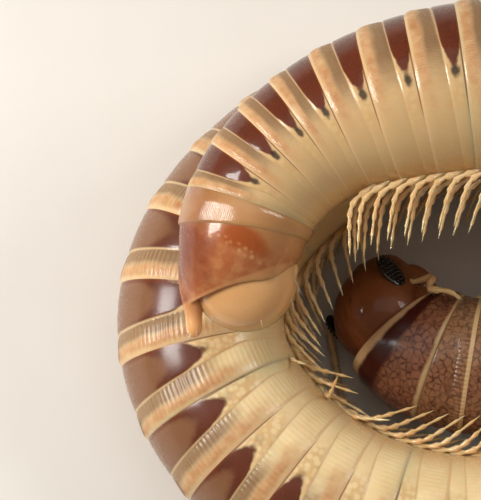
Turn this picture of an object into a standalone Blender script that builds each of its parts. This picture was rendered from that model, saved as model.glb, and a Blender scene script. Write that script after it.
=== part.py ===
"""Blunt-tailed snake millipede at life size, coiled up and lying on its side.

The head is at the middle of the coil and the tail lies on top of it. Metres, +Z up, with the origin
under the middle of the coil's box, on the floor. Shapes are worked out in millimetres and brought to
metres when a node is finished.
"""

import math

import bmesh
import bpy
import numpy as np
from mathutils import Matrix, Vector

MM = 0.001

# The coil. Each station is a bearing round the coil's axis in degrees, from the head to the tail, with
# the reach of the body's own axis from the coil's, and how far the body's underside is off the floor.
STATIONS = (
    (-175, 0.93, 0.00),
    (-150, 0.68, 0.00),
    (-120, 0.53, 0.00),
    (-90, 0.50, 0.00),
    (-60, 0.60, 0.00),
    (-30, 0.85, 0.00),
    (0, 1.30, 0.00),
    (30, 1.80, 0.00),
    (60, 2.12, 0.00),
    (90, 2.27, 0.00),
    (120, 2.33, 0.00),
    (150, 2.58, 0.00),
    (180, 2.88, 0.00),
    (210, 2.66, 0.00),
    (240, 2.40, 0.00),
    (270, 2.29, 0.00),
    (300, 2.44, 0.00),
    (330, 2.86, 0.13),
    (360, 3.12, 0.70),
    (390, 2.78, 1.36),
    (420, 2.22, 1.72),
    (450, 1.98, 1.80),
    (480, 2.09, 1.80),
    (495, 2.27, 1.79),
    (510, 2.44, 1.77),
    (520, 2.52, 1.74),
    (530, 2.51, 1.72),
    (536, 2.48, 1.71),
)
TRUNK_END_BEARING = 522
BOX_CENTRE = (0.137, -0.043)

# The body's radius and the length of a ring, each by the distance along the body from the collum.
RADIUS = ((0.0, 0.63), (0.6, 0.69), (1.2, 0.71), (3.0, 0.76), (6.0, 0.82), (10.0, 0.86), (13.0, 0.885),
          (20.5, 0.89), (22.3, 0.88), (23.0, 0.85), (23.5, 0.81), (23.9, 0.76), (24.3, 0.715), (25.2, 0.66))
PITCH = ((0.6, 0.40), (2.0, 0.475), (5.0, 0.525), (16.0, 0.54), (19.0, 0.515), (21.4, 0.455), (23.2, 0.43),
         (24.07, 0.41), (24.42, 0.35), (24.72, 0.30), (25.02, 0.30), (25.34, 0.32))
COLLUM_LENGTH = 0.56
RINGS_PER_LENGTH = 4

# A ring is a smooth fore part and a raised, wider hind part, given as places along it and shares of
# the radius.
RING_PROFILE = ((0.03, 0.95), (0.50, 1.0), (0.97, 1.0))
COLLUM_PROFILE = ((0.0, 0.90), (0.08, 0.97), (0.5, 1.0), (0.97, 1.0))
SIDES = 16
BELLY_FLATTENING = 0.01
FLAT_SHARE = 0.012
GAP = 0.025
MERGE = 1e-4
ROUND_TO = 6
CURVE_POINTS = 4000
SHARP_ANGLE = 35
BALL_SIDES = 14
BALL_RINGS = 9

# Legs. A link's splay is from straight down the belly towards the flank, its sweep towards the tail.
LEGLESS_END_RINGS = 4
SINGLE_PAIR_RINGS = 3
# A pose is how far a leg goes from hanging free to being drawn up, in splay and in sweep.
LEG_LINKS = (0.12, 0.25, 0.27, 0.24)
LEG_RADII = (0.040, 0.039, 0.033, 0.027, 0.011)
LEG_SIDES = 4
FINE_STEPS = 4
LEG_GAP = 0.010
LEG_ROOT_DEPTH = 0.84
LEG_HIP_DEPTH = 0.93
HIP_SPREAD = 0.09
ROOT_SPREAD = 0.054
LEG_PLACES = (0.36, 0.84)
SINGLE_LEG_PLACE = 0.62
FREE_SPLAY = (58, 46, 18, 4)
TUCKED_SPLAY = (82, 84, 84, 66)
FREE_SWEEP = (30, 58, 36, 22)
TUCKED_SWEEP = (40, 74, 76, 74)
LEG_POSES = (
    (0.0, 0.0),
    (0.12, 0.22),
    (0.0, -0.25),
    (0.25, 0.05),
    (0.0, 0.40),
    (0.25, 0.45),
    (0.30, -0.30),
    (0.50, 0.50),
    (0.50, 0.0),
    (0.0, -0.6),
    (0.75, 0.4),
    (0.0, 0.8),
    (0.3, 0.8),
    (0.0, -0.9),
    (0.5, -0.6),
    (1.0, 0.6),
    (1.0, 0.0),
    (0.6, 1.0),
    (1.0, 1.0),
    (1.0, -0.6),
    (-0.4, 0.3),
    (-0.5, -0.4),
    (-0.5, 0.8),
    (0.2, -1.3),
    (0.8, -1.1),
    (0.4, 1.3),
)
LEG_SCALES = (1.0, 0.9, 0.8, 0.68, 0.56, 0.45, 0.34)

# The head, turned about its own axis so that its crown looks half up at the camera. Sections run
# forward from inside the collum: how far ahead, half width, top and bottom.
HEAD_ROLL = 45
HEAD_SECTIONS = (
    (-0.30, 0.26, 0.24, -0.26),
    (-0.10, 0.42, 0.42, -0.40),
    (0.12, 0.50, 0.51, -0.48),
    (0.34, 0.50, 0.49, -0.50),
    (0.52, 0.43, 0.37, -0.50),
    (0.66, 0.31, 0.19, -0.46),
    (0.75, 0.15, -0.02, -0.34),
)
HEAD_SIDES = 20
EYE_PLACE = (0.40, 0.485, 0.10)
EYE_SIZE = (0.20, 0.06, 0.12)
CHEEK_PLACE = (0.20, 0.34, -0.27)
CHEEK_SIZE = (0.24, 0.17, 0.17)
CHIN_PLACE = (0.24, 0.0, -0.48)
CHIN_SIZE = (0.26, 0.22, 0.12)

# The antennae, as points ahead of the collum's front, towards the back and up from the body's axis.
UPPER_ANTENNA = (
    (0.38, -0.38, 0.12),
    (0.17, -0.41, 0.36),
    (0.08, -0.56, 0.44),
    (0.00, -0.43, 0.56),
    (-0.15, -0.55, 0.58),
    (-0.29, -0.60, 0.58),
)
LOWER_ANTENNA = (
    (0.46, 0.30, -0.26),
    (0.50, 0.46, -0.32),
    (0.34, 0.58, -0.42),
    (0.16, 0.68, -0.48),
    (0.02, 0.76, -0.52),
    (-0.10, 0.82, -0.53),
)
ANTENNA_RADII = (0.045, 0.050, 0.050, 0.052, 0.050, 0.030)
ANTENNA_WAISTS = 0.72
ANTENNA_SIDES = 8
ARTICLE_SWELLING = 0.55

# The telson, in its own plane: how far behind the last ring, and towards the back from its middle.
TELSON_SECTIONS = (
    ((0.02, 0.655), (0.02, -0.650), 0.65),
    ((0.30, 0.615), (0.10, -0.625), 0.635),
    ((0.57, 0.535), (0.19, -0.620), 0.60),
    ((0.84, 0.415), (0.28, -0.610), 0.52),
    ((1.07, 0.255), (0.37, -0.580), 0.40),
)
# Points down the blunt club with its radii, then the valves and the scale that lie under it.
CLUB = (
    ((0.66, 0.355), 0.150),
    ((0.92, 0.265), 0.130),
    ((1.06, 0.205), 0.100),
    ((1.16, 0.163), 0.078),
    ((1.26, 0.122), 0.068),
    ((1.315, 0.101), 0.050),
    ((1.345, 0.090), 0.022),
)
CLUB_SIDES = 12
VALVE_CENTRE = (0.62, -0.16)
VALVE_SIZE = (0.51, 0.53, 0.37)
VALVE_SLIT = 0.02
SCALE_PLACE = (0.52, -0.600)
SCALE_SIZE = (0.19, 0.058, 0.13)
SCALE_CLEARANCE = 1.05
SCALE_SIDES = 12
SCALE_RINGS = 8

UP = np.array((0.0, 0.0, 1.0))
ASKEW = np.array((0.31, 0.31, 1.31))


def clear_scene():
    for obj in list(bpy.data.objects):
        bpy.data.objects.remove(obj, do_unlink=True)


def table(rows, at):
    """Value at a distance along the body, read from (distance, value) rows."""
    return np.interp(at, [row[0] for row in rows], [row[1] for row in rows])


def natural_spline(knots, values, at):
    """Smooth curve through the values at the knots, read at the given places."""
    knots = np.asarray(knots, float)
    values = np.asarray(values, float)
    steps = np.diff(knots)
    count = len(knots)
    system = np.eye(count)
    right = np.zeros_like(values)
    for i in range(1, count - 1):
        system[i, i - 1: i + 2] = (steps[i - 1], 2 * (steps[i - 1] + steps[i]), steps[i])
        slopes = (values[i + 1] - values[i]) / steps[i] - (values[i] - values[i - 1]) / steps[i - 1]
        right[i] = 6 * slopes
    bends = np.linalg.solve(system, right)
    left = np.clip(np.searchsorted(knots, at) - 1, 0, count - 2)
    step = steps[left][:, None]
    after = (at - knots[left])[:, None]
    before = step - after
    curve = (bends[left] * before ** 3 + bends[left + 1] * after ** 3) / (6 * step)
    curve += (values[left] / step - bends[left] * step / 6) * before
    curve += (values[left + 1] / step - bends[left + 1] * step / 6) * after
    return curve


class Coil:
    """The body's axis as a curve in space, read by the distance from the collum's front edge."""

    def __init__(self):
        bearings = [s[0] for s in STATIONS]
        dense = np.linspace(bearings[0], bearings[-1], CURVE_POINTS)
        reach, lift = natural_spline(bearings, [s[1:] for s in STATIONS], dense).T
        turn = np.radians(dense)
        flat = np.stack([reach * np.cos(turn), reach * np.sin(turn), np.maximum(lift, 0)], 1)
        along = self.distances(flat)
        flat[:, 2] += table(RADIUS, along) * (math.cos(math.pi / SIDES) - FLAT_SHARE)
        flat[:, 0] -= BOX_CENTRE[0]
        flat[:, 1] -= BOX_CENTRE[1]
        self.points = flat
        self.along = self.distances(flat)
        self.end = float(np.interp(TRUNK_END_BEARING, dense, self.along))
        self.length = self.along[-1]
        self.tangents = np.gradient(flat, self.along, axis=0)
        self.tangents /= np.linalg.norm(self.tangents, axis=1)[:, None]

    @staticmethod
    def distances(points):
        return np.concatenate([[0], np.cumsum(np.linalg.norm(np.diff(points, axis=0), axis=1))])

    def read(self, rows, at):
        return np.array([np.interp(at, self.along, rows[:, k]) for k in range(3)])

    def frame(self, at):
        """Centre, tailward, dorsal and upper flank directions at a distance along the body."""
        inside = min(max(at, 0.0), self.length)
        tailward = self.read(self.tangents, inside)
        tailward /= np.linalg.norm(tailward)
        centre = self.read(self.points, inside) + (at - inside) * tailward
        dorsal = np.cross(tailward, UP)
        dorsal /= np.linalg.norm(dorsal)
        flank = np.cross(dorsal, tailward)
        return centre, tailward, dorsal, flank


COIL = Coil()


def ring_edges():
    """Distances along the body of the rings' edges, from the collum's front to the last ring's rear."""
    edges = [COIL.end]
    while edges[-1] > COLLUM_LENGTH:
        edges.append(edges[-1] - float(table(PITCH, edges[-1])))
    if COLLUM_LENGTH - edges[-1] > edges[-2] - COLLUM_LENGTH:
        edges.pop()
    edges[-1] = COLLUM_LENGTH
    return [0.0, *reversed(edges)]


EDGES = ring_edges()


def to_object(name, points_mm, faces):
    """Mesh object in millimetres from points and faces."""
    mesh = bpy.data.meshes.new(name)
    mesh.from_pydata([tuple(p) for p in points_mm], [], faces)
    mesh.validate()
    obj = bpy.data.objects.new(name, mesh)
    bpy.context.scene.collection.objects.link(obj)
    return obj


def loft(name, sections):
    """Closed body through rings of points that match one for one, with both ends filled."""
    count = len(sections[0])
    points = np.concatenate(sections)
    faces = []
    for row in range(len(sections) - 1):
        low = row * count
        high = low + count
        for i in range(count):
            j = (i + 1) % count
            faces.append((low + i, low + j, high + j, high + i))
    faces.append(tuple(reversed(range(count))))
    faces.append(tuple(range(len(points) - count, len(points))))
    obj = to_object(name, points, faces)
    fix_normals(obj.data)
    return obj


def fix_normals(mesh):
    bm = bmesh.new()
    bm.from_mesh(mesh)
    bmesh.ops.recalc_face_normals(bm, faces=bm.faces)
    bm.to_mesh(mesh)
    bm.free()


def ellipse(centre, across, up, sides=SIDES):
    """Ring of points round a centre, from two half-axis vectors."""
    turns = (np.arange(sides) + 0.5) * 2 * math.pi / sides
    return centre + np.outer(np.cos(turns), across) + np.outer(np.sin(turns), up)


def body_section(at, share):
    """The body's outline at a distance along it, with a flatter belly and a foot on the floor."""
    centre, _, dorsal, flank = COIL.frame(at)
    radius = float(table(RADIUS, at)) * share
    ring = ellipse(centre, dorsal * radius, flank * radius)
    outward = (ring - centre) @ dorsal / radius
    ring -= np.outer(np.minimum(outward, 0) ** 3 * BELLY_FLATTENING * radius, dorsal)
    ring[:, 2] = np.maximum(ring[:, 2], 0)
    return ring


def ring_sections(index, profile=RING_PROFILE):
    """Sections of one ring, from its front to its rear."""
    start, end = EDGES[index], EDGES[index + 1]
    return [body_section(start + (end - start) * place, share) for place, share in profile]


def leg_path(at, side, spread, sweep, scale):
    """Points down a leg from inside the belly to its claw, for one pose."""
    centre, tailward, dorsal, flank = COIL.frame(at)
    belly = -dorsal
    outer = flank * side
    radius = float(table(RADIUS, at))
    root = centre + belly * radius * LEG_ROOT_DEPTH + outer * ROOT_SPREAD
    hip = centre + belly * radius * LEG_HIP_DEPTH + outer * HIP_SPREAD
    points = [root, hip]
    for link, size in enumerate(LEG_LINKS[1:], 1):
        splay = math.radians(FREE_SPLAY[link] + spread * (TUCKED_SPLAY[link] - FREE_SPLAY[link]))
        back = math.radians(FREE_SWEEP[link] + sweep * (TUCKED_SWEEP[link] - FREE_SWEEP[link]))
        ahead = belly * math.cos(splay) + outer * math.sin(splay)
        points.append(points[-1] + (ahead * math.cos(back) + tailward * math.sin(back)) * size * scale)
    return np.array(points)


def fine(points, radii, steps=FINE_STEPS):
    """The same path with its links divided, for measuring clearance."""
    places = np.linspace(0, len(points) - 1, (len(points) - 1) * steps + 1)
    index = np.arange(len(points))
    dense = np.stack([np.interp(places, index, points[:, k]) for k in range(3)], 1)
    return dense, np.interp(places, index, radii)


class LegPlacer:
    """Chooses for each leg the first pose that keeps clear of the body, the floor and other legs.

    Everything is measured as balls: those of the trunk by their distance along it, those of the head,
    antennae and telson, and those of the legs placed so far, by the node they belong to.
    """

    ROOT_STEPS = 6
    HIP_STEPS = 12
    SISTER_STEPS = 7
    NEAR = 1.3
    TRUNK_STEP = 0.05
    SKIN_DEPTH = 0.015
    SISTER_GAP = 0.006
    NONE_NEAR = 1.0

    def __init__(self, balls):
        self.trunk_at = np.arange(0.0, COIL.end, self.TRUNK_STEP)
        self.trunk = np.array([COIL.frame(at)[0] for at in self.trunk_at])
        self.trunk_radius = np.array([float(table(RADIUS, at)) for at in self.trunk_at])
        self.taken = np.array([ball[0] for ball in balls])
        self.taken_radius = np.array([ball[1] for ball in balls])
        self.taken_node = np.zeros(len(balls), int)

    def room(self, points, radii, at, node):
        """Smallest clearance of a leg from all that it mustn't touch."""
        dense, thick = fine(points, radii)
        leg = dense[self.ROOT_STEPS:]
        thick = thick[self.ROOT_STEPS:]
        floor = (leg[:, 2] - thick).min() - GAP
        apart = np.linalg.norm(leg[:, None] - self.trunk[None], axis=2) - self.trunk_radius
        apart -= thick[:, None]
        other = np.abs(self.trunk_at - at) > self.NEAR
        own = apart[self.HIP_STEPS - self.ROOT_STEPS:, ~other].min() + self.SKIN_DEPTH
        far = apart[:, other].min() - GAP
        gaps = np.linalg.norm(leg[:, None] - self.taken[None], axis=2)
        gaps -= thick[:, None] + self.taken_radius
        stranger = self.taken_node != node
        clear = np.where(self.taken_node == 0, GAP, LEG_GAP)
        strangers = (gaps - clear)[:, stranger].min()
        sisters = self.NONE_NEAR
        if not stranger.all():
            sisters = gaps[self.SISTER_STEPS - self.ROOT_STEPS:, ~stranger].min() - self.SISTER_GAP
        return min(floor, own, far, strangers, sisters)

    def place(self, at, side, node):
        """The path of a leg that has room, or else of the one that comes nearest to having it."""
        radii = np.array(LEG_RADII)
        best = (-math.inf, None)
        for scale in LEG_SCALES:
            for spread, sweep in LEG_POSES:
                points = leg_path(at, side, spread, sweep, scale)
                room = self.room(points, radii, at, node)
                if room > best[0]:
                    best = (room, points)
                if room >= 0:
                    break
            if best[0] >= 0:
                break
        dense, thick = fine(best[1], radii)
        self.taken = np.concatenate([self.taken, dense[self.ROOT_STEPS:]])
        self.taken_radius = np.concatenate([self.taken_radius, thick[self.ROOT_STEPS:]])
        added = len(dense) - self.ROOT_STEPS
        self.taken_node = np.concatenate([self.taken_node, np.full(added, node)])
        return best[1]


def tube(name, points, radii, sides):
    """Tapered many-sided tube along a path, closed at both ends."""
    sections = []
    ways = np.gradient(points, axis=0)
    ways /= np.linalg.norm(ways, axis=1)[:, None]
    side = np.cross(ways[0], ASKEW)
    for point, way, radius in zip(points, ways, radii):
        side = side - way * (side @ way)
        side /= np.linalg.norm(side)
        sections.append(ellipse(point, side * radius, np.cross(way, side) * radius, sides))
    return loft(name, sections)


def ball(name, centre, axes, sides=BALL_SIDES, rings=BALL_RINGS):
    """Ellipsoid from its centre and three half-axis vectors."""
    bm = bmesh.new()
    bmesh.ops.create_uvsphere(bm, u_segments=sides, v_segments=rings, radius=1.0)
    mesh = bpy.data.meshes.new(name)
    bm.to_mesh(mesh)
    bm.free()
    turn = Matrix([[axes[k][row] for k in range(3)] + [centre[row]] for row in range(3)] + [[0, 0, 0, 1]])
    mesh.transform(turn)
    obj = bpy.data.objects.new(name, mesh)
    bpy.context.scene.collection.objects.link(obj)
    fix_normals(mesh)
    return obj


def union(base, pieces):
    """Fuses closed pieces into the base, in one Boolean on a collection."""
    if not pieces:
        return
    group = bpy.data.collections.new("pieces")
    bpy.context.scene.collection.children.link(group)
    for piece in pieces:
        bpy.context.scene.collection.objects.unlink(piece)
        group.objects.link(piece)
    modifier = base.modifiers.new("join", "BOOLEAN")
    modifier.operation = "UNION"
    modifier.operand_type = "COLLECTION"
    modifier.collection = group
    modifier.solver = "EXACT"
    modifier.use_self = True
    apply_modifiers(base)
    for piece in list(group.objects):
        bpy.data.objects.remove(piece, do_unlink=True)
    bpy.data.collections.remove(group)


def cut(base, cutter):
    """Takes the cutter's shape out of the base, and numbers what is left by place."""
    modifier = base.modifiers.new("cut", "BOOLEAN")
    modifier.operation = "DIFFERENCE"
    modifier.object = cutter
    modifier.solver = "EXACT"
    apply_modifiers(base)
    bpy.data.objects.remove(cutter, do_unlink=True)
    number_by_place(base)


def apply_modifiers(obj):
    bpy.context.view_layer.update()
    graph = bpy.context.evaluated_depsgraph_get()
    mesh = bpy.data.meshes.new_from_object(obj.evaluated_get(graph))
    obj.modifiers.clear()
    obj.data = mesh


def number_by_place(obj):
    """Numbers a mesh's points and faces by where they lie, as a Boolean's own order varies by run."""
    old = obj.data
    places = [tuple(round(value, ROUND_TO) for value in vertex.co) for vertex in old.vertices]
    order = sorted(range(len(places)), key=places.__getitem__)
    rank = {vertex: number for number, vertex in enumerate(order)}
    faces = []
    for polygon in old.polygons:
        corners = [rank[vertex] for vertex in polygon.vertices]
        first = corners.index(min(corners))
        faces.append(tuple(corners[first:] + corners[:first]))
    mesh = bpy.data.meshes.new(obj.name)
    mesh.from_pydata([places[vertex] for vertex in order], [], sorted(faces))
    bm = bmesh.new()
    bm.from_mesh(mesh)
    bmesh.ops.triangulate(bm, faces=bm.faces, quad_method="BEAUTY", ngon_method="BEAUTY")
    bm.to_mesh(mesh)
    bm.free()
    obj.data = mesh
    bpy.data.meshes.remove(old)


def keep_largest(obj):
    """Drops every closed surface but the largest, so that a node is one body."""
    bm = bmesh.new()
    bm.from_mesh(obj.data)
    left = set(bm.faces)
    shells = []
    while left:
        shell = set()
        front = [left.pop()]
        while front:
            face = front.pop()
            shell.add(face)
            for edge in face.edges:
                for near in edge.link_faces:
                    if near in left and edge.is_manifold:
                        left.discard(near)
                        front.append(near)
        shells.append(shell)
    shells.sort(key=len)
    for shell in shells[:-1]:
        bmesh.ops.delete(bm, geom=list(shell), context="FACES")
    bmesh.ops.delete(bm, geom=[v for v in bm.verts if not v.link_faces], context="VERTS")
    bmesh.ops.remove_doubles(bm, verts=bm.verts, dist=MERGE)
    bm.to_mesh(obj.data)
    bm.free()


def slice_off(obj, point, normal):
    """Removes what lies on the normal's side of a plane and closes the cut."""
    bm = bmesh.new()
    bm.from_mesh(obj.data)
    geometry = bm.verts[:] + bm.edges[:] + bm.faces[:]
    bmesh.ops.bisect_plane(bm, geom=geometry, plane_co=point, plane_no=normal, clear_outer=True)
    rim = [edge for edge in bm.edges if edge.is_boundary]
    if rim:
        bmesh.ops.holes_fill(bm, edges=rim)
    bmesh.ops.recalc_face_normals(bm, faces=bm.faces)
    bm.to_mesh(obj.data)
    bm.free()


def material(name, colour, roughness):
    made = bpy.data.materials.get(name)
    if made is None:
        made = bpy.data.materials.new(name)
        made.use_nodes = True
        shader = made.node_tree.nodes["Principled BSDF"]
        shader.inputs["Base Color"].default_value = (*colour, 1)
        shader.inputs["Roughness"].default_value = roughness
        shader.inputs["Metallic"].default_value = 0.0
    return made


SHELL = ("cuticle", (0.42, 0.22, 0.08), 0.30)
PALE = ("pale_cuticle", (0.70, 0.48, 0.24), 0.28)
LIMB = ("limb", (0.75, 0.58, 0.36), 0.30)
EYE = ("eye", (0.01, 0.008, 0.006), 0.15)


def finish_node(obj, name, finish):
    """Names a node, brings it from millimetres to metres and gives it its material and shading."""
    obj.name = name
    obj.data.name = name
    obj.data.transform(Matrix.Scale(MM, 4))
    obj.data.materials.clear()
    obj.data.materials.append(material(*finish))
    obj.data.shade_smooth()
    obj.data.set_sharp_from_angle(angle=math.radians(SHARP_ANGLE))
    MODEL.objects.link(obj)
    for other in list(obj.users_collection):
        if other is not MODEL:
            other.objects.unlink(obj)
    return obj


def rings_with_legs():
    """For each ring after the collum, the distances along the body of its leg pairs."""
    last = len(EDGES) - 1 - LEGLESS_END_RINGS
    pairs = {}
    for index in range(1, last):
        start, end = EDGES[index], EDGES[index + 1]
        places = (SINGLE_LEG_PLACE,) if index <= SINGLE_PAIR_RINGS else LEG_PLACES
        pairs[index] = [start + (end - start) * place for place in places]
    return pairs


class Head:
    """Places on the head: ahead of the collum's front, to the camera's side and towards the crown."""

    def __init__(self):
        self.centre, tailward, dorsal, flank = COIL.frame(0.0)
        roll = math.radians(HEAD_ROLL)
        self.ahead = -tailward
        self.crown = dorsal * math.cos(roll) + flank * math.sin(roll)
        self.side = flank * math.cos(roll) - dorsal * math.sin(roll)
        self.dorsal = dorsal
        self.flank = flank

    def point(self, ahead, side, crown):
        return self.centre + self.ahead * ahead + self.side * side + self.crown * crown

    def body_point(self, ahead, dorsal, flank):
        return self.centre + self.ahead * ahead + self.dorsal * dorsal + self.flank * flank

    def sections(self, grow=0.0):
        """The head's outline, each section grown outward by the same amount."""
        rings = []
        for number, (ahead, half, top, bottom) in enumerate(HEAD_SECTIONS):
            if number == 0:
                ahead -= grow
            if number == len(HEAD_SECTIONS) - 1:
                ahead += grow
            middle = self.point(ahead, 0, (top + bottom) / 2)
            tall = (top - bottom) / 2 + grow
            rings.append(ellipse(middle, self.side * (half + grow), self.crown * tall, HEAD_SIDES))
        return rings

    def lump(self, name, place, size, mirror=1):
        ahead, side, crown = place
        axes = (self.ahead * size[0], self.side * size[1], self.crown * size[2])
        return ball(name, self.point(ahead, side * mirror, crown), axes)


HEAD = Head()


def grown_head(grow):
    return loft("grown_head", HEAD.sections(grow))


def build_head():
    """The head, its eyes, cheeks and chin, each lying on the head with a hair's gap."""
    for name, place, size, mirrors, finish in (
        ("eye", EYE_PLACE, EYE_SIZE, (1, -1), EYE),
        ("cheek", CHEEK_PLACE, CHEEK_SIZE, (1, -1), SHELL),
        ("chin", CHIN_PLACE, CHIN_SIZE, (0,), PALE),
    ):
        for mirror in mirrors:
            lump = HEAD.lump(name, place, size, mirror)
            cut(lump, grown_head(GAP))
            keep_largest(lump)
            suffix = {1: "_upper", -1: "_lower", 0: ""}[mirror]
            finish_node(lump, name + suffix, finish)
    finish_node(loft("head", HEAD.sections()), "head", SHELL)


def antenna_path(points):
    return np.array([HEAD.body_point(*point) for point in points])


def build_antennae():
    for name, points in (("antenna_upper", UPPER_ANTENNA), ("antenna_lower", LOWER_ANTENNA)):
        path = antenna_path(points)
        stops = []
        radii = []
        for number in range(len(path) - 1):
            swelling = path[number] + (path[number + 1] - path[number]) * ARTICLE_SWELLING
            stops += [path[number], swelling]
            radii += [ANTENNA_RADII[number] * ANTENNA_WAISTS, ANTENNA_RADII[number]]
        stops.append(path[-1])
        radii.append(ANTENNA_RADII[-1])
        antenna = tube(name, np.array(stops), radii, ANTENNA_SIDES)
        cut(antenna, grown_head(GAP))
        keep_largest(antenna)
        finish_node(antenna, name, LIMB)


def build_collum():
    """The wide first plate behind the head, hollowed where the back of the head goes in."""
    collum = loft("collum", ring_sections(0, COLLUM_PROFILE))
    cut(collum, grown_head(GAP))
    keep_largest(collum)
    finish_node(collum, "collum", SHELL)


class Telson:
    """Places on the tail end: behind the last ring, towards the back and up the flank."""

    def __init__(self):
        self.centre, self.behind, self.dorsal, self.flank = COIL.frame(COIL.end)

    def point(self, behind, dorsal, flank=0.0):
        return self.centre + self.behind * behind + self.dorsal * dorsal + self.flank * flank

    def way(self, start, end):
        way = self.point(*end) - self.point(*start)
        return way / np.linalg.norm(way)


TELSON = Telson()


def telson_sections():
    rings = []
    for back, belly, half in TELSON_SECTIONS:
        high = TELSON.point(*back)
        low = TELSON.point(*belly)
        rings.append(ellipse((high + low) / 2, (high - low) / 2, TELSON.flank * half, HEAD_SIDES))
    return rings


def club_tube(grow=0.0):
    points = np.array([TELSON.point(*place) for place, _ in CLUB])
    return tube("club", points, [radius + grow for _, radius in CLUB], CLUB_SIDES)


def build_telson():
    """The last segment with its blunt club, the two valves under it and the scale below them."""
    telson = loft("telson", telson_sections())
    union(telson, [club_tube()])
    keep_largest(telson)
    back, belly, _ = TELSON_SECTIONS[-1]
    along = TELSON.way(belly, back)
    deep = np.cross(along, TELSON.flank)
    deep *= np.sign(deep @ TELSON.behind)
    along_size, deep_size, wide_size = VALVE_SIZE
    rim = TELSON.point(*belly) + deep * GAP
    valve_axes = (along * along_size, TELSON.flank * wide_size, deep * deep_size)
    for side, name in ((1, "valve_upper"), (-1, "valve_lower")):
        valve = ball(name, TELSON.point(*VALVE_CENTRE), valve_axes)
        slice_off(valve, TELSON.centre + TELSON.flank * side * VALVE_SLIT / 2, -TELSON.flank * side)
        slice_off(valve, rim, -deep)
        cut(valve, club_tube(GAP))
        keep_largest(valve)
        finish_node(valve, name, PALE)
    axes = (TELSON.behind * SCALE_SIZE[0], TELSON.dorsal * SCALE_SIZE[1], TELSON.flank * SCALE_SIZE[2])
    scale = ball("belly_scale", TELSON.point(*SCALE_PLACE), axes, SCALE_SIDES, SCALE_RINGS)
    slice_off(scale, rim, -deep)
    cut(scale, ball("blank", TELSON.point(*VALVE_CENTRE), [axis * SCALE_CLEARANCE for axis in valve_axes]))
    keep_largest(scale)
    finish_node(scale, "belly_scale", PALE)
    finish_node(telson, "telson", SHELL)


THIRDS = (0.0, 0.33, 0.67)


def obstacles():
    """Balls that stand in for the head, antennae and telson while the legs are placed."""
    balls = []
    for ahead, half, top, bottom in HEAD_SECTIONS:
        balls.append((HEAD.point(ahead, 0, (top + bottom) / 2), max(half, (top - bottom) / 2)))
    for points in (UPPER_ANTENNA, LOWER_ANTENNA):
        for first, second in zip(antenna_path(points)[:-1], antenna_path(points)[1:]):
            balls += [(first + (second - first) * share, max(ANTENNA_RADII)) for share in THIRDS]
    for back, belly, half in TELSON_SECTIONS:
        balls.append(((TELSON.point(*back) + TELSON.point(*belly)) / 2, half))
    return balls


def build_trunk():
    """The rings after the collum, in lengths of a few rings with their legs."""
    pairs = rings_with_legs()
    rings = list(range(1, len(EDGES) - 1))
    groups = [rings[i: i + RINGS_PER_LENGTH] for i in range(0, len(rings), RINGS_PER_LENGTH)]
    if len(groups[-1]) < RINGS_PER_LENGTH:
        spare = groups.pop()
        groups[-1] = groups[-1] + spare
    placer = LegPlacer(obstacles())
    for number, group in enumerate(groups, 1):
        sections = []
        for index in group:
            sections += ring_sections(index)
        trunk = loft("trunk", sections)
        legs = []
        for index in group:
            for at in pairs.get(index, ()):
                for side in (1, -1):
                    legs.append(tube("leg", placer.place(at, side, number), LEG_RADII, LEG_SIDES))
        union(trunk, legs)
        keep_largest(trunk)
        finish_node(trunk, f"trunk_{number:02d}", SHELL)


def main():
    build_head()
    build_antennae()
    build_collum()
    build_telson()
    build_trunk()


clear_scene()
MODEL = bpy.data.collections.new("snake_millipede")
bpy.context.scene.collection.children.link(MODEL)
main()
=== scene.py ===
"""Looks of the coiled snake millipede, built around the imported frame.

Lengths are in millimetres while a piece is being shaped and its mesh is brought to metres when the piece
is finished. The coil, the ring lengths and the leg poses are worked out from the same driving dimensions
as the solids, so each piece lies where its solid does.
"""

import logging
import math
import random
from dataclasses import dataclass
from enum import Enum
from typing import Iterable, Sequence

import bmesh
import bpy
import numpy as np
from mathutils import Matrix, Vector


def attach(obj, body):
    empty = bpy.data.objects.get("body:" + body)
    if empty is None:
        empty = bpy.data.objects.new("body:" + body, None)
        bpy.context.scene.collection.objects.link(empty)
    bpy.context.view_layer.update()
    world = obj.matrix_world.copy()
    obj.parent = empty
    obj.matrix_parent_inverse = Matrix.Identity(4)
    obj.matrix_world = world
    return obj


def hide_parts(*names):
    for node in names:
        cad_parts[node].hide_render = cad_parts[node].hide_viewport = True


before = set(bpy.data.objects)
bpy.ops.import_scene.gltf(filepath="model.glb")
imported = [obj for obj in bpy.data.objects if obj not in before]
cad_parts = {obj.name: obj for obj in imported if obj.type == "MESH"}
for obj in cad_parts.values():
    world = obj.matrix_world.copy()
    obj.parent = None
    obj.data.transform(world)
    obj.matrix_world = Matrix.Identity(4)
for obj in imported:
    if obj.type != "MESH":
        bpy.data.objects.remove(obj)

LOG = logging.getLogger("millipede")
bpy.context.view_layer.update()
MM = 0.001
UP = np.array((0.0, 0.0, 1.0))
ROOT = "root"
SEAM = 1e-5
CURVE_POINTS = 4000
PATH_POINTS = 160
RIB_POWER = 0.6
RIB_MEAN = 0.6

Point = np.ndarray
Rows = Sequence[Sequence[float]]


class Slot(Enum):
    """The record's material slots."""

    CUTICLE = "cuticle"
    PALE = "pale_cuticle"
    LIMB = "limb"
    EYE = "eye"


def table(rows: Rows, at: float | np.ndarray) -> float | np.ndarray:
    """Reads a table of (place, value) rows.

    Args:
        rows: rising places with a value each.
        at: one place or many.

    Returns:
        The value or values there.
    """
    return np.interp(at, [row[0] for row in rows], [row[1] for row in rows])


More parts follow.
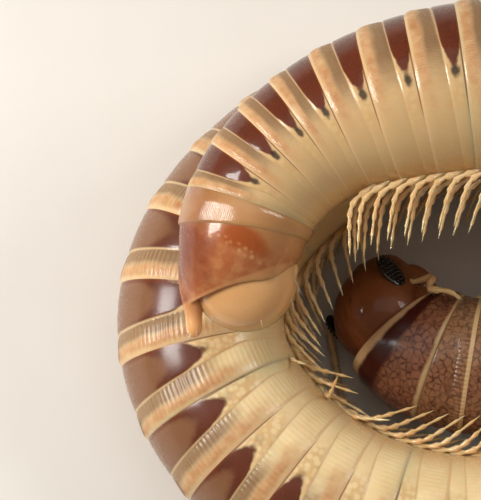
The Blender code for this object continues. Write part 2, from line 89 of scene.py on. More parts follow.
def natural_spline(knots: Sequence[float], values: Rows, at: np.ndarray) -> np.ndarray:
    """Reads a smooth curve that passes through values at knots.

    Args:
        knots: rising places of the values.
        values: one row of numbers for each knot.
        at: places to read.

    Returns:
        One row of numbers for each place.
    """
    spots = np.asarray(knots, float)
    rows = np.asarray(values, float)
    steps = np.diff(spots)
    count = len(spots)
    system = np.eye(count)
    right = np.zeros_like(rows)
    for i in range(1, count - 1):
        system[i, i - 1: i + 2] = (steps[i - 1], 2 * (steps[i - 1] + steps[i]), steps[i])
        slopes = (rows[i + 1] - rows[i]) / steps[i] - (rows[i] - rows[i - 1]) / steps[i - 1]
        right[i] = 6 * slopes
    bends = np.linalg.solve(system, right)
    left = np.clip(np.searchsorted(spots, at) - 1, 0, count - 2)
    step = steps[left][:, None]
    after = (at - spots[left])[:, None]
    before = step - after
    curve = (bends[left] * before ** 3 + bends[left + 1] * after ** 3) / (6 * step)
    curve += (rows[left] / step - bends[left] * step / 6) * before
    curve += (rows[left + 1] / step - bends[left + 1] * step / 6) * after
    return curve


def unit(way: np.ndarray) -> np.ndarray:
    """The way with length one."""
    return way / np.linalg.norm(way, axis=-1, keepdims=True)


def ribs(turn: np.ndarray, striae: int) -> np.ndarray:
    """Height of fine round ribs with narrow grooves, about zero on the whole."""
    return (0.5 - 0.5 * np.cos(turn * striae)) ** RIB_POWER - RIB_MEAN


@dataclass(frozen=True)
class BodyPlan:
    """The animal's driving dimensions, the same as the solids have."""

    stations: Rows = (
        (-175, 0.93, 0.00),
        (-150, 0.68, 0.00),
        (-120, 0.53, 0.00),
        (-90, 0.50, 0.00),
        (-60, 0.60, 0.00),
        (-30, 0.85, 0.00),
        (0, 1.30, 0.00),
        (30, 1.80, 0.00),
        (60, 2.12, 0.00),
        (90, 2.27, 0.00),
        (120, 2.33, 0.00),
        (150, 2.58, 0.00),
        (180, 2.88, 0.00),
        (210, 2.66, 0.00),
        (240, 2.40, 0.00),
        (270, 2.29, 0.00),
        (300, 2.44, 0.00),
        (330, 2.86, 0.13),
        (360, 3.12, 0.70),
        (390, 2.78, 1.36),
        (420, 2.22, 1.72),
        (450, 1.98, 1.80),
        (480, 2.09, 1.80),
        (495, 2.27, 1.79),
        (510, 2.44, 1.77),
        (520, 2.52, 1.74),
        (530, 2.51, 1.72),
        (536, 2.48, 1.71),
    )
    trunk_end_bearing: float = 522
    box_centre: tuple[float, float] = (0.137, -0.043)
    radius: Rows = (
        (0.0, 0.63), (0.6, 0.69), (1.2, 0.71), (3.0, 0.76), (6.0, 0.82), (10.0, 0.86), (13.0, 0.885),
        (20.5, 0.89), (22.3, 0.88), (23.0, 0.85), (23.5, 0.81), (23.9, 0.76), (24.3, 0.715), (25.2, 0.66),
    )
    pitch: Rows = (
        (0.6, 0.40), (2.0, 0.475), (5.0, 0.525), (16.0, 0.54), (19.0, 0.515), (21.4, 0.455), (23.2, 0.43),
        (24.07, 0.41), (24.42, 0.35), (24.72, 0.30), (25.02, 0.30), (25.34, 0.32),
    )
    collum_length: float = 0.56
    rings_per_length: int = 4
    belly_flattening: float = 0.01
    rest_share: float = math.cos(math.pi / 16) - 0.012


PLAN = BodyPlan()


class Coil:
    """The body's axis as a curve in space, read by the distance from the collum's front edge."""

    def __init__(self, plan: BodyPlan) -> None:
        """Works out the curve.

        Args:
            plan: the animal's driving dimensions.
        """
        self.plan = plan
        bearings = [station[0] for station in plan.stations]
        dense = np.linspace(bearings[0], bearings[-1], CURVE_POINTS)
        reach, lift = natural_spline(bearings, [station[1:] for station in plan.stations], dense).T
        turn = np.radians(dense)
        points = np.stack([reach * np.cos(turn), reach * np.sin(turn), np.maximum(lift, 0)], 1)
        points[:, 2] += table(plan.radius, self.distances(points)) * plan.rest_share
        points[:, 0] -= plan.box_centre[0]
        points[:, 1] -= plan.box_centre[1]
        self.points = points
        self.along = self.distances(points)
        self.end = float(np.interp(plan.trunk_end_bearing, dense, self.along))
        self.length = float(self.along[-1])
        self.tangents = unit(np.gradient(points, self.along, axis=0))
        dorsal = unit(np.cross(self.tangents, UP))
        turning = np.gradient(self.tangents, self.along, axis=0)
        self.bend = -(turning * dorsal).sum(1)

    @staticmethod
    def distances(points: np.ndarray) -> np.ndarray:
        """Distances along a line of points."""
        return np.concatenate([[0], np.cumsum(np.linalg.norm(np.diff(points, axis=0), axis=1))])

    def frames(self, at: np.ndarray) -> tuple[np.ndarray, np.ndarray, np.ndarray, np.ndarray]:
        """Reads the body's own directions.

        Args:
            at: distances along the body, past either end too.

        Returns:
            Centres, tailward, dorsal and upper flank directions, one row for each distance.
        """
        at = np.atleast_1d(np.asarray(at, float))
        inside = np.clip(at, 0, self.length)
        read = [np.stack([np.interp(inside, self.along, rows[:, k]) for k in range(3)], 1)
                for rows in (self.points, self.tangents)]
        tailward = unit(read[1])
        centre = read[0] + (at - inside)[:, None] * tailward
        dorsal = unit(np.cross(tailward, UP))
        return centre, tailward, dorsal, np.cross(dorsal, tailward)

    def frame(self, at: float) -> tuple[Point, Point, Point, Point]:
        """Centre, tailward, dorsal and upper flank directions at one distance."""
        centre, tailward, dorsal, flank = self.frames(np.array([at]))
        return centre[0], tailward[0], dorsal[0], flank[0]

    def skin(self, at: np.ndarray, turn: np.ndarray, share: np.ndarray) -> np.ndarray:
        """Places points on the body.

        Args:
            at: distances along the body.
            turn: angles round it from the middle of the back towards the upper flank.
            share: shares of the body's radius.

        Returns:
            The points, resting on the floor where they would pass it.
        """
        centre, _, dorsal, flank = self.frames(at)
        radius = table(self.plan.radius, at) * share
        outward = np.cos(turn)
        belly = np.minimum(outward, 0) ** 3 * self.plan.belly_flattening
        points = centre + dorsal * (radius * (outward - belly))[:, None]
        points += flank * (radius * np.sin(turn))[:, None]
        points[:, 2] = np.maximum(points[:, 2], 0)
        return points

    def ring_edges(self) -> list[float]:
        """Distances of the rings' edges, from the collum's front to the last ring's rear."""
        edges = [self.end]
        while edges[-1] > self.plan.collum_length:
            edges.append(edges[-1] - float(table(self.plan.pitch, edges[-1])))
        if self.plan.collum_length - edges[-1] > edges[-2] - self.plan.collum_length:
            edges.pop()
        edges[-1] = self.plan.collum_length
        return [0.0, *reversed(edges)]


COIL = Coil(PLAN)
EDGES = COIL.ring_edges()


def deselect() -> None:
    """Leaves object mode with nothing selected."""
    if bpy.context.mode != "OBJECT":
        bpy.ops.object.mode_set(mode="OBJECT")
    bpy.ops.object.select_all(action="DESELECT")


def active() -> bpy.types.Object:
    """The object that the last operator made."""
    return bpy.context.view_layer.objects.active


def points_of(obj: bpy.types.Object) -> np.ndarray:
    """A mesh's points, one row each."""
    flat = np.empty(len(obj.data.vertices) * 3)
    obj.data.vertices.foreach_get("co", flat)
    return flat.reshape(-1, 3)


def set_points(obj: bpy.types.Object, points: np.ndarray) -> None:
    """Moves a mesh's points."""
    obj.data.vertices.foreach_set("co", np.asarray(points, np.float32).ravel())
    obj.data.update()


def set_attribute(obj: bpy.types.Object, name: str, values: np.ndarray) -> None:
    """Writes one number for each point of a mesh."""
    layer = obj.data.attributes.get(name) or obj.data.attributes.new(name, "FLOAT", "POINT")
    layer.data.foreach_set("value", np.asarray(values, np.float32))


def shaded(obj: bpy.types.Object, shade: float) -> None:
    """Gives all of a mesh one place between its finish's two colours."""
    set_attribute(obj, "shade", np.full(len(obj.data.vertices), shade))


def recalculate(obj: bpy.types.Object, merge: float = 0.0) -> None:
    """Turns a closed mesh's faces outward, after points closer than merge are made one."""
    sheet = bmesh.new()
    sheet.from_mesh(obj.data)
    if merge:
        bmesh.ops.remove_doubles(sheet, verts=sheet.verts, dist=merge)
    bmesh.ops.recalc_face_normals(sheet, faces=sheet.faces)
    sheet.to_mesh(obj.data)
    sheet.free()


def joined(objects: Sequence[bpy.types.Object], name: str) -> bpy.types.Object:
    """Joins objects into the first and names it."""
    deselect()
    for obj in objects:
        obj.select_set(True)
    bpy.context.view_layer.objects.active = objects[0]
    if len(objects) > 1:
        bpy.ops.object.join()
    objects[0].name = name
    objects[0].data.name = name
    return objects[0]


def sphere(segments: int, rings: int, radius: float = 1.0) -> bpy.types.Object:
    """A new sphere at the origin."""
    deselect()
    bpy.ops.mesh.primitive_uv_sphere_add(segments=segments, ring_count=rings, radius=radius)
    return active()


def modified(obj: bpy.types.Object, kind: str, **settings: object) -> None:
    """Puts a modifier on a mesh and applies it.

    Args:
        obj: the mesh's object.
        kind: Blender's name for the modifier.
        settings: the modifier's values.
    """
    deselect()
    obj.select_set(True)
    bpy.context.view_layer.objects.active = obj
    modifier = obj.modifiers.new(kind.lower(), kind)
    for key, value in settings.items():
        setattr(modifier, key, value)
    bpy.ops.object.modifier_apply(modifier=modifier.name)


def copied(obj: bpy.types.Object) -> bpy.types.Object:
    """A copy of an object with its own mesh."""
    twin = obj.copy()
    twin.data = obj.data.copy()
    bpy.context.scene.collection.objects.link(twin)
    return twin


def finished(
    obj: bpy.types.Object,
    material: bpy.types.Material,
    nodes: Iterable[str] = (),
    angle: float | None = 40.0,
) -> None:
    """Brings a piece to metres, dresses it and gives it to the frame.

    Args:
        obj: the piece, in millimetres, at the origin.
        material: its finish.
        nodes: the solids that it stands for.
        angle: edges sharper than this stay sharp, or None for smooth all over.
    """
    obj.data.transform(Matrix.Scale(MM, 4))
    obj.data.materials.clear()
    obj.data.materials.append(material)
    deselect()
    obj.select_set(True)
    bpy.context.view_layer.objects.active = obj
    if angle is None:
        bpy.ops.object.shade_smooth()
    else:
        bpy.ops.object.shade_smooth_by_angle(angle=math.radians(angle))
    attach(obj, ROOT)
    if nodes:
        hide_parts(*nodes)
    LOG.info("%s: %d faces", obj.name, len(obj.data.polygons))


def extruded_tube(
    name: str, sides: int, stations: Sequence[tuple[float, float]], closed: bool = True
) -> bpy.types.Object:
    """Models a straight tube on Z from a circle by extruding and resizing.

    Args:
        name: the object's name.
        sides: points round it.
        stations: (height, radius) of each circle, from the bottom.
        closed: whether both ends are filled.

    Returns:
        The tube, whose points come circle by circle from the bottom.
    """
    deselect()
    height, radius = stations[0]
    fill = "NGON" if closed else "NOTHING"
    bpy.ops.mesh.primitive_circle_add(vertices=sides, radius=1.0, fill_type=fill, location=(0, 0, 0))
    obj = active()
    obj.name = name
    bpy.ops.object.mode_set(mode="EDIT")
    bpy.ops.mesh.select_all(action="SELECT")
    bpy.ops.transform.resize(value=(radius, radius, radius))
    bpy.ops.transform.translate(value=(0, 0, height))
    for (low, before), (high, after) in zip(stations, stations[1:]):
        move = {"value": (0, 0, high - low)}
        if closed:
            bpy.ops.mesh.extrude_region_move(TRANSFORM_OT_translate=move)
        else:
            bpy.ops.mesh.extrude_edges_move(TRANSFORM_OT_translate=move)
        grow = after / before
        bpy.ops.transform.resize(value=(grow, grow, 1), center_override=(0, 0, high))
    bpy.ops.object.mode_set(mode="OBJECT")
    return obj


def along_path(path: np.ndarray, at: np.ndarray) -> tuple[np.ndarray, np.ndarray]:
    """Reads a smooth line through points.

    Args:
        path: the points.
        at: shares of the way along, from 0 to 1.

    Returns:
        Places and directions, one row for each share.
    """
    knots = COIL.distances(path)
    dense = np.linspace(0, knots[-1], PATH_POINTS)
    line = natural_spline(knots, path, dense)
    ways = unit(np.gradient(line, axis=0))
    spot = np.clip(at, 0, 1) * knots[-1]
    places = np.stack([np.interp(spot, dense, line[:, k]) for k in range(3)], 1)
    turns = np.stack([np.interp(spot, dense, ways[:, k]) for k in range(3)], 1)
    return places, unit(turns)


def laid_on_path(points: np.ndarray, path: np.ndarray, toward: np.ndarray) -> np.ndarray:
    """Bends a straight form on Z, one unit tall, along a path.

    Args:
        points: the form's points, thick in millimetres in X and Y and from 0 to 1 in Z.
        path: the points of the path.
        toward: the direction that the form's X turns to.

    Returns:
        The bent points.
    """
    places, ways = along_path(path, points[:, 2])
    side = toward[None] - ways * (ways @ toward)[:, None]
    side = unit(side)
    other = np.cross(ways, side)
    beyond = (points[:, 2] - np.clip(points[:, 2], 0, 1)) * COIL.distances(path)[-1]
    return places + side * points[:, 0:1] + other * points[:, 1:2] + ways * beyond[:, None]


Socket = bpy.types.NodeSocket


class Bench:
    """Lays out one material's nodes."""

    GRAIN = 0.12
    COAT_ROUGHNESS = 0.07
    IOR = 1.45
    SPECULAR = 0.25
    INNER_REACH = (1.0, 0.55, 0.3)

    def __init__(self, name: str) -> None:
        """Starts an empty material with a Principled shader.

        Args:
            name: the material's name.
        """
        self.material = bpy.data.materials.new(name)
        self.material.use_nodes = True
        self.tree = self.material.node_tree
        self.shader = self.tree.nodes["Principled BSDF"]

    def add(self, kind: str, **settings: object) -> bpy.types.Node:
        """A new node with some of its settings made."""
        node = self.tree.nodes.new(kind)
        for key, value in settings.items():
            setattr(node, key, value)
        return node

    def feed(self, socket: Socket, value: object) -> None:
        """Links a socket to an output, or sets it."""
        if isinstance(value, bpy.types.NodeSocket):
            self.tree.links.new(value, socket)
        else:
            socket.default_value = value

    def attribute(self, name: str) -> Socket:
        """A number that the mesh carries."""
        return self.add("ShaderNodeAttribute", attribute_name=name).outputs["Fac"]

    def math(self, operation: str, first: object, second: object = 0.0) -> Socket:
        """One sum on two numbers."""
        node = self.add("ShaderNodeMath", operation=operation)
        self.feed(node.inputs[0], first)
        self.feed(node.inputs[1], second)
        return node.outputs[0]

    def span(self, value: Socket, low: float, high: float, start: float = 0.0, end: float = 1.0) -> Socket:
        """Turns a range of a number into another, smoothly and held at its ends."""
        node = self.add("ShaderNodeMapRange", interpolation_type="SMOOTHSTEP")
        for place, number in zip((1, 2, 3, 4), (low, high, start, end)):
            node.inputs[place].default_value = number
        self.feed(node.inputs[0], value)
        return node.outputs[0]

    def window(self, value: Socket, low: float, high: float, soft: float) -> Socket:
        """One between two values and nothing outside them, with soft edges."""
        rise = self.span(value, low - soft, low + soft)
        fall = self.span(value, high - soft, high + soft, 1.0, 0.0)
        return self.times(rise, fall)

    def times(self, first: object, second: object) -> Socket:
        """The product of two numbers."""
        return self.math("MULTIPLY", first, second)

    def plus(self, first: Socket, second: Socket, share: float) -> Socket:
        """One number with a share of another added."""
        return self.math("ADD", first, self.times(second, share))

    def squared(self, value: Socket, centre: float, scale: float) -> Socket:
        """The square of a number's scaled distance from a centre."""
        return self.math("POWER", self.times(self.math("SUBTRACT", value, centre), scale), 2.0)

    def tint(self, base: object, share: Socket, most: float, colour_over: object) -> Socket:
        """A colour over another by a share, at most so much of it."""
        return self.mix(self.times(share, most), base, colour_over)

    def mix(self, share: object, first: object, second: object) -> Socket:
        """One colour over another."""
        node = self.add("ShaderNodeMix", data_type="RGBA")
        self.feed(node.inputs[0], share)
        self.feed(node.inputs[6], first)
        self.feed(node.inputs[7], second)
        return node.outputs[2]

    def place(self) -> Socket:
        """Object coordinates in millimetres."""
        source = self.add("ShaderNodeTexCoord").outputs["Object"]
        mapping = self.add("ShaderNodeMapping")
        mapping.inputs["Scale"].default_value = [1 / MM] * 3
        self.feed(mapping.inputs["Vector"], source)
        return mapping.outputs[0]

    def noise(self, where: Socket, scale: float, detail: float = 3.0, rough: float = 0.5) -> Socket:
        """Cloudy noise from 0 to 1."""
        node = self.add("ShaderNodeTexNoise")
        self.feed(node.inputs["Vector"], where)
        node.inputs["Scale"].default_value = scale
        node.inputs["Detail"].default_value = detail
        node.inputs["Roughness"].default_value = rough
        return node.outputs["Fac"]

    def cells(self, where: Socket, scale: float, feature: str = "DISTANCE_TO_EDGE",
              spread: float = 1.0) -> Socket:
        """Distance from the edges, or the middles, of irregular cells."""
        node = self.add("ShaderNodeTexVoronoi", feature=feature)
        self.feed(node.inputs["Vector"], where)
        node.inputs["Scale"].default_value = scale
        node.inputs["Randomness"].default_value = spread
        return node.outputs["Distance"]

    def sway(self, where: Socket, scale: float, detail: float = 3.0) -> Socket:
        """Cloudy noise about zero."""
        return self.math("SUBTRACT", self.noise(where, scale, detail), 0.5)

    def net(self, where: Socket, scale: float, width: float) -> Socket:
        """Broken dark lines between irregular cells."""
        lines = self.span(self.cells(where, scale), 0.0, width, 1.0, 0.0)
        return self.times(lines, self.span(self.noise(where, 20.0), 0.3, 0.65, 0.15, 0.9))

    def grain(self, where: Socket, scale: float, least: float) -> Socket:
        """Roughness with a fine uneven grain."""
        rough = self.math("MULTIPLY_ADD", self.noise(where, scale), self.GRAIN)
        rough.node.inputs[2].default_value = least
        return rough

    def bump(self, height: Socket, depth: float) -> None:
        """Raises the shader's surface by a height map, depth in millimetres."""
        node = self.add("ShaderNodeBump")
        node.inputs["Distance"].default_value = depth * MM
        self.feed(node.inputs["Height"], height)
        self.feed(self.shader.inputs["Normal"], node.outputs[0])

    def gloss(self, roughness: object, coat: float, soft: float, reach: float = 0.12) -> None:
        """Sets the shell's shine and how far light goes into it.

        Args:
            roughness: of the shell under its clear surface.
            coat: how much clear surface it has.
            soft: the share of light that goes in and comes out again.
            reach: how far that light goes, in millimetres.
        """
        self.feed(self.shader.inputs["Roughness"], roughness)
        self.shader.inputs["Coat Weight"].default_value = coat
        self.shader.inputs["Coat Roughness"].default_value = self.COAT_ROUGHNESS
        self.shader.inputs["IOR"].default_value = self.IOR
        self.shader.inputs["Specular IOR Level"].default_value = self.SPECULAR
        self.shader.inputs["Subsurface Weight"].default_value = soft
        self.shader.inputs["Subsurface Radius"].default_value = self.INNER_REACH
        self.shader.inputs["Subsurface Scale"].default_value = reach * MM


def colour(red: float, green: float, blue: float) -> tuple[float, float, float, float]:
    """A colour given on the screen's 0 to 255 scale, as the shader wants it."""
    channels = [value / 255 for value in (red, green, blue)]
    linear = [value / 12.92 if value <= 0.04045 else ((value + 0.055) / 1.055) ** 2.4 for value in channels]
    return (linear[0], linear[1], linear[2], 1.0)


@dataclass(frozen=True)
class CuticleFinish:
    """The banded shell of the trunk's rings."""

    chestnut: tuple = colour(106, 30, 7)
    deep: tuple = colour(58, 18, 6)
    grey: tuple = colour(140, 106, 74)
    amber: tuple = colour(172, 106, 50)
    # pale tone of the rings, mixed into the amber band, and also painted on each ring's rear edge as a
    # highlight
    pale_tone_and_highlight: tuple = colour(222, 186, 140)
    cream: tuple = colour(238, 214, 166)
    tan: tuple = colour(208, 172, 122)
    bubble: tuple = colour(232, 206, 156)
    network: tuple = colour(196, 138, 72)
    # painted shadow: colour of the thin line just behind each ring's overhanging rear edge
    line: tuple = colour(118, 56, 24)
    suture: tuple = colour(206, 164, 112)
    # painted shade: darker warm tan laid on the underside, near the legs, where it turns away from the lamps
    spot: tuple = colour(38, 20, 12)
    belly: tuple = colour(214, 164, 104)
    mottle_light: tuple = colour(140, 96, 66)
    mottle_dark: tuple = colour(66, 32, 24)
    bar: tuple = colour(206, 176, 128)
    saddle: tuple = colour(132, 88, 58)

    def build(self) -> bpy.types.Material:
        """Bands by the place along a ring, fading from the back to the belly."""
        bench = Bench("ringed_cuticle")
        place = bench.attribute("place")
        back = bench.attribute("back")
        along = bench.attribute("along")
        luck = bench.attribute("luck")
        where = bench.place()
        drift = bench.sway(where, 4.0)
        ripple = bench.sway(where, 16.0)
        fade = bench.plus(back, drift, 0.26)
        fade = bench.plus(fade, ripple, 0.05)
        fade = bench.plus(fade, bench.math("SUBTRACT", luck, 0.5), 0.10)
        upper = bench.span(along, 13.0, 19.0)
        base = bench.mix(bench.span(drift, -0.15, 0.15), self.cream, self.bubble)
        base = bench.tint(base, upper, 0.85, self.tan)
        # painted shade: the underside is tinted darker and warmer where it turns away from the lamps
        base = bench.tint(base, bench.span(back, -0.62, -1.0), 0.6, self.belly)
        base = self.bubbles(bench, base, where, place, fade, upper)
        loose = bench.plus(place, drift, 0.30)
        amber = bench.times(bench.window(loose, 1.48, 1.92, 0.16), bench.span(fade, -0.50, 0.15))
        base = bench.mix(amber, base, bench.mix(bench.noise(where, 9.0), self.amber, self.pale_tone_and_highlight))
        grey = bench.times(bench.window(loose, 0.9, 1.48, 0.14), bench.window(place, 1.0, 3.0, 0.04))
        grey = bench.times(grey, bench.span(fade, -0.20, 0.40))
        base = bench.tint(base, grey, 0.92, self.grey)
        base = self.dark_patch(bench, base, where, place, fade, upper)
        # painted shadow: a thin red-brown line on the upper side, just behind the previous ring's overhanging
        # rear edge
        ridge_shadow = bench.times(bench.window(place, -0.1, 0.085, 0.03), bench.span(fade, -0.62, -0.20))
        base = bench.tint(base, ridge_shadow, 0.75, self.line)
        # pale rear edge of each ring, painted lighter than it is as a highlight on the fine ribs
        base = bench.tint(base, bench.window(place, 1.90, 2.2, 0.03), 0.70, self.pale_tone_and_highlight)
        base = bench.tint(base, bench.window(place, 0.965, 1.025, 0.02), 0.18, self.suture)
        base = self.gland(bench, base, place, back, ripple, upper)
        keel = bench.times(bench.span(back, 0.975, 0.998), bench.window(place, 1.30, 1.80, 0.1))
        base = bench.tint(base, keel, 0.6, self.deep)
        base = self.front_rings(bench, base, where, place, along)
        bench.feed(bench.shader.inputs["Base Color"], base)
        rough = bench.grain(where, 30.0, 0.20)
        bench.gloss(rough, 0.55, 0.6, 0.20)
        bench.shader.inputs["Specular IOR Level"].default_value = 0.12
        bench.feed(bench.shader.inputs["Coat Roughness"], bench.span(along, 12.0, 18.0, 0.21, 0.08))
        bench.bump(bench.noise(where, 70.0, 4.0, 0.6), 0.003)
        return bench.material

    def bubbles(self, bench: Bench, base: Socket, where: Socket, place: Socket, fade: Socket,
                upper: Socket) -> Socket:
        """Pale round cells in an amber network, below the dark patch of the smooth part."""
        cells = bench.cells(where, 14.5, "F1", 0.80)
        round_cells = bench.span(cells, 0.26, 0.66, 1.0, 0.0)
        tint = bench.mix(round_cells, self.network, self.bubble)
        zone = bench.times(bench.window(place, 0.10, 1.0, 0.08), bench.window(fade, -0.40, 0.2, 0.16))
        share = bench.times(zone, bench.math("SUBTRACT", 0.42, bench.times(upper, 0.28)))
        return bench.mix(share, base, tint)

    def dark_patch(self, bench: Bench, base: Socket, where: Socket, place: Socket, fade: Socket,
                   upper: Socket) -> Socket:
        """The chestnut patch over the back of the smooth part, rounded at its lower end."""
        middle = bench.math("POWER", bench.math("ABSOLUTE", bench.math("SUBTRACT", place, 0.5)), 2.0)
        rounded = bench.math("SUBTRACT", fade, bench.times(middle, 1.3))
        share = bench.times(bench.window(place, 0.0, 0.97, 0.035), bench.span(rounded, 0.02, 0.12))
        rich = bench.mix(bench.noise(where, 5.0, 4.0), self.deep, self.chestnut)
        rich = bench.mix(bench.span(fade, 0.25, 0.95, 0.35, 0.0), rich, self.chestnut)
        lower = bench.math("SUBTRACT", 1.0, upper)
        saddle = bench.times(bench.span(rounded, 0.40, 0.62, 0.0, 0.85), lower)
        rich = bench.mix(saddle, rich, self.saddle)
        return bench.tint(base, share, 0.96, rich)

    def gland(self, bench: Bench, base: Socket, place: Socket, back: Socket, ripple: Socket,
              upper: Socket) -> Socket:
        """The dark oval spot of the repugnatorial gland on each flank."""
        out = bench.squared(back, 0.035, 10.5)
        side = bench.squared(place, 0.48, 3.6)
        far = bench.math("SQRT", bench.math("ADD", out, side))
        far = bench.math("ADD", far, ripple)
        spot = bench.times(bench.span(far, 0.45, 1.15, 1.0, 0.0), bench.span(upper, 0.0, 1.0, 0.2, 0.88))
        return bench.mix(spot, base, self.spot)

    def front_rings(self, bench: Bench, base: Socket, where: Socket, place: Socket, along: Socket) -> Socket:
        """The dark netted pattern with pale rear bars on the rings behind the head."""
        net = bench.mix(bench.net(where, 15.0, 0.24), self.mottle_light, self.mottle_dark)
        net = bench.mix(bench.window(place, 1.72, 2.2, 0.06), net, self.bar)
        return bench.tint(base, bench.span(along, 5.0, 1.8), 0.92, net)


@dataclass(frozen=True)
class PlainShellFinish:
    """Smooth shell with a cloudy change of colour from its front to its rear."""

    name: str
    first: tuple
    second: tuple
    patch: tuple
    soft: float = 0.6
    reach: float = 0.16
    patch_scale: float = 2.2
    coat: float = 0.9
    rough: float = 0.16

    def build(self) -> bpy.types.Material:
        """Cloudy colour under a clear glossy surface."""
        bench = Bench(self.name)
        where = bench.place()
        cloud = bench.span(bench.noise(where, self.patch_scale, 4.0), 0.35, 0.68)
        base = bench.mix(bench.attribute("shade"), self.first, self.second)
        base = bench.tint(base, cloud, 0.5, self.patch)
        bench.feed(bench.shader.inputs["Base Color"], base)
        rough = bench.grain(where, 24.0, self.rough)
        bench.gloss(rough, self.coat, self.soft, self.reach)
        bench.bump(bench.noise(where, 40.0, 3.0, 0.6), 0.003)
        return bench.material


@dataclass(frozen=True)
class TailFinish:
    """The tail segment: dark along the back, with an orange patch, pale spots and a pale rim and club."""

    body: tuple = colour(176, 104, 62)
    dark: tuple = colour(112, 44, 22)
    orange: tuple = colour(164, 80, 30)
    spots: tuple = colour(222, 178, 124)
    front: tuple = colour(190, 134, 84)
    rim: tuple = colour(208, 152, 100)
    tip: tuple = colour(220, 166, 108)

    def build(self) -> bpy.types.Material:
        """Colours by the place behind the last ring and towards the back."""
        bench = Bench("tail_shell")
        behind, dorsal, margin = (bench.attribute(name) for name in ("behind", "dorsal", "margin"))
        where = bench.place()
        cloud = bench.sway(where, 3.5, 4.0)
        behind = bench.plus(behind, cloud, 0.16)
        high = bench.plus(dorsal, cloud, 0.5)
        base = bench.mix(bench.span(bench.noise(where, 9.0, 3.0), 0.35, 0.7), self.body, self.rim)
        base = bench.mix(0.55, base, self.body)
        base = bench.mix(bench.span(high, 0.02, 0.50, 0.0, 0.92), base, self.dark)
        front = bench.times(bench.span(behind, 0.40, 0.24), bench.span(high, 0.5, 0.0, 0.35, 0.9))
        base = bench.mix(front, base, self.front)
        out = bench.squared(dorsal, -0.05, 3.4)
        back = bench.squared(behind, 0.345, 7.5)
        patch = bench.span(bench.math("SQRT", bench.math("ADD", out, back)), 0.55, 1.15, 1.0, 0.0)
        base = bench.tint(base, patch, 0.9, self.orange)
        line = bench.plus(bench.attribute("behind"), dorsal, 0.15)
        row = bench.times(bench.window(line, 0.385, 0.465, 0.02), bench.window(dorsal, -0.30, 0.30, 0.05))
        discs = bench.span(bench.cells(where, 15.0, "F1", 0.5), 0.16, 0.56, 1.0, 0.0)
        base = bench.tint(base, bench.times(row, discs), 0.5, self.spots)
        base = bench.mix(bench.span(margin, -0.05, -0.01, 0.0, 0.75), base, self.rim)
        base = bench.mix(bench.span(bench.attribute("behind"), 1.08, 1.24, 0.0, 0.9), base, self.tip)
        bench.feed(bench.shader.inputs["Base Color"], base)
        rough = bench.grain(where, 24.0, 0.20)
        bench.gloss(rough, 0.50, 0.6, 0.18)
        bench.bump(bench.noise(where, 45.0, 3.0, 0.6), 0.002)
        return bench.material


@dataclass(frozen=True)
class CollumFinish:
    """The first plate: a pale front rim, a dark band, a netted middle and a pale rear bar, lightened as a
    painted highlight.
    """

    rim: tuple = colour(204, 168, 124)
    band: tuple = colour(62, 14, 10)
    light: tuple = colour(136, 88, 62)
    dark: tuple = colour(66, 30, 22)
    # pale rear margin, painted lighter as a highlight where the rim catches the light
    bar: tuple = colour(204, 172, 124)

    def build(self) -> bpy.types.Material:
        """Bands by the place along the plate."""
        bench = Bench("collum_shell")
        where = bench.place()
        place = bench.plus(bench.attribute("place"), bench.sway(where, 5.0), 0.10)
        base = bench.mix(bench.net(where, 14.0, 0.26), self.light, self.dark)
        base = bench.mix(bench.window(place, 0.10, 0.37, 0.05), base, self.band)
        base = bench.mix(bench.span(place, 0.15, 0.09, 0.0, 0.85), base, self.rim)
        # painted highlight: the pale rear bar stands in for the light caught on the rear rim
        base = bench.mix(bench.span(place, 0.89, 0.95, 0.0, 0.8), base, self.bar)
        bench.feed(bench.shader.inputs["Base Color"], base)
        rough = bench.grain(where, 26.0, 0.24)
        bench.gloss(rough, 0.35, 0.5, 0.14)
        bench.shader.inputs["Coat Roughness"].default_value = 0.16
        bench.bump(bench.noise(where, 50.0, 3.0, 0.6), 0.003)
        return bench.material


VALVE_FINISH = PlainShellFinish("valve_shell", colour(216, 164, 108), colour(202, 144, 92),
                                colour(224, 178, 124))
LAST_RING_FINISH = PlainShellFinish("last_ring_shell", colour(188, 136, 86), colour(140, 82, 46),
                                    colour(200, 152, 100), 0.6, 0.18)
HEAD_FINISH = PlainShellFinish("head_shell", colour(126, 70, 34), colour(164, 104, 60),
                               colour(92, 46, 22), 0.5, coat=0.3, rough=0.36)
LIMB_FINISH = PlainShellFinish("limb_cuticle", colour(226, 190, 136), colour(190, 140, 86),
                               colour(240, 214, 168), 0.75, 0.08)
HAIR_FINISH = PlainShellFinish("bristle", colour(244, 220, 176), colour(226, 190, 140),
                               colour(250, 232, 200), 0.5)
EYE_FINISH = PlainShellFinish("ocellus", colour(16, 11, 9), colour(8, 6, 6), colour(30, 20, 16), 0.0)


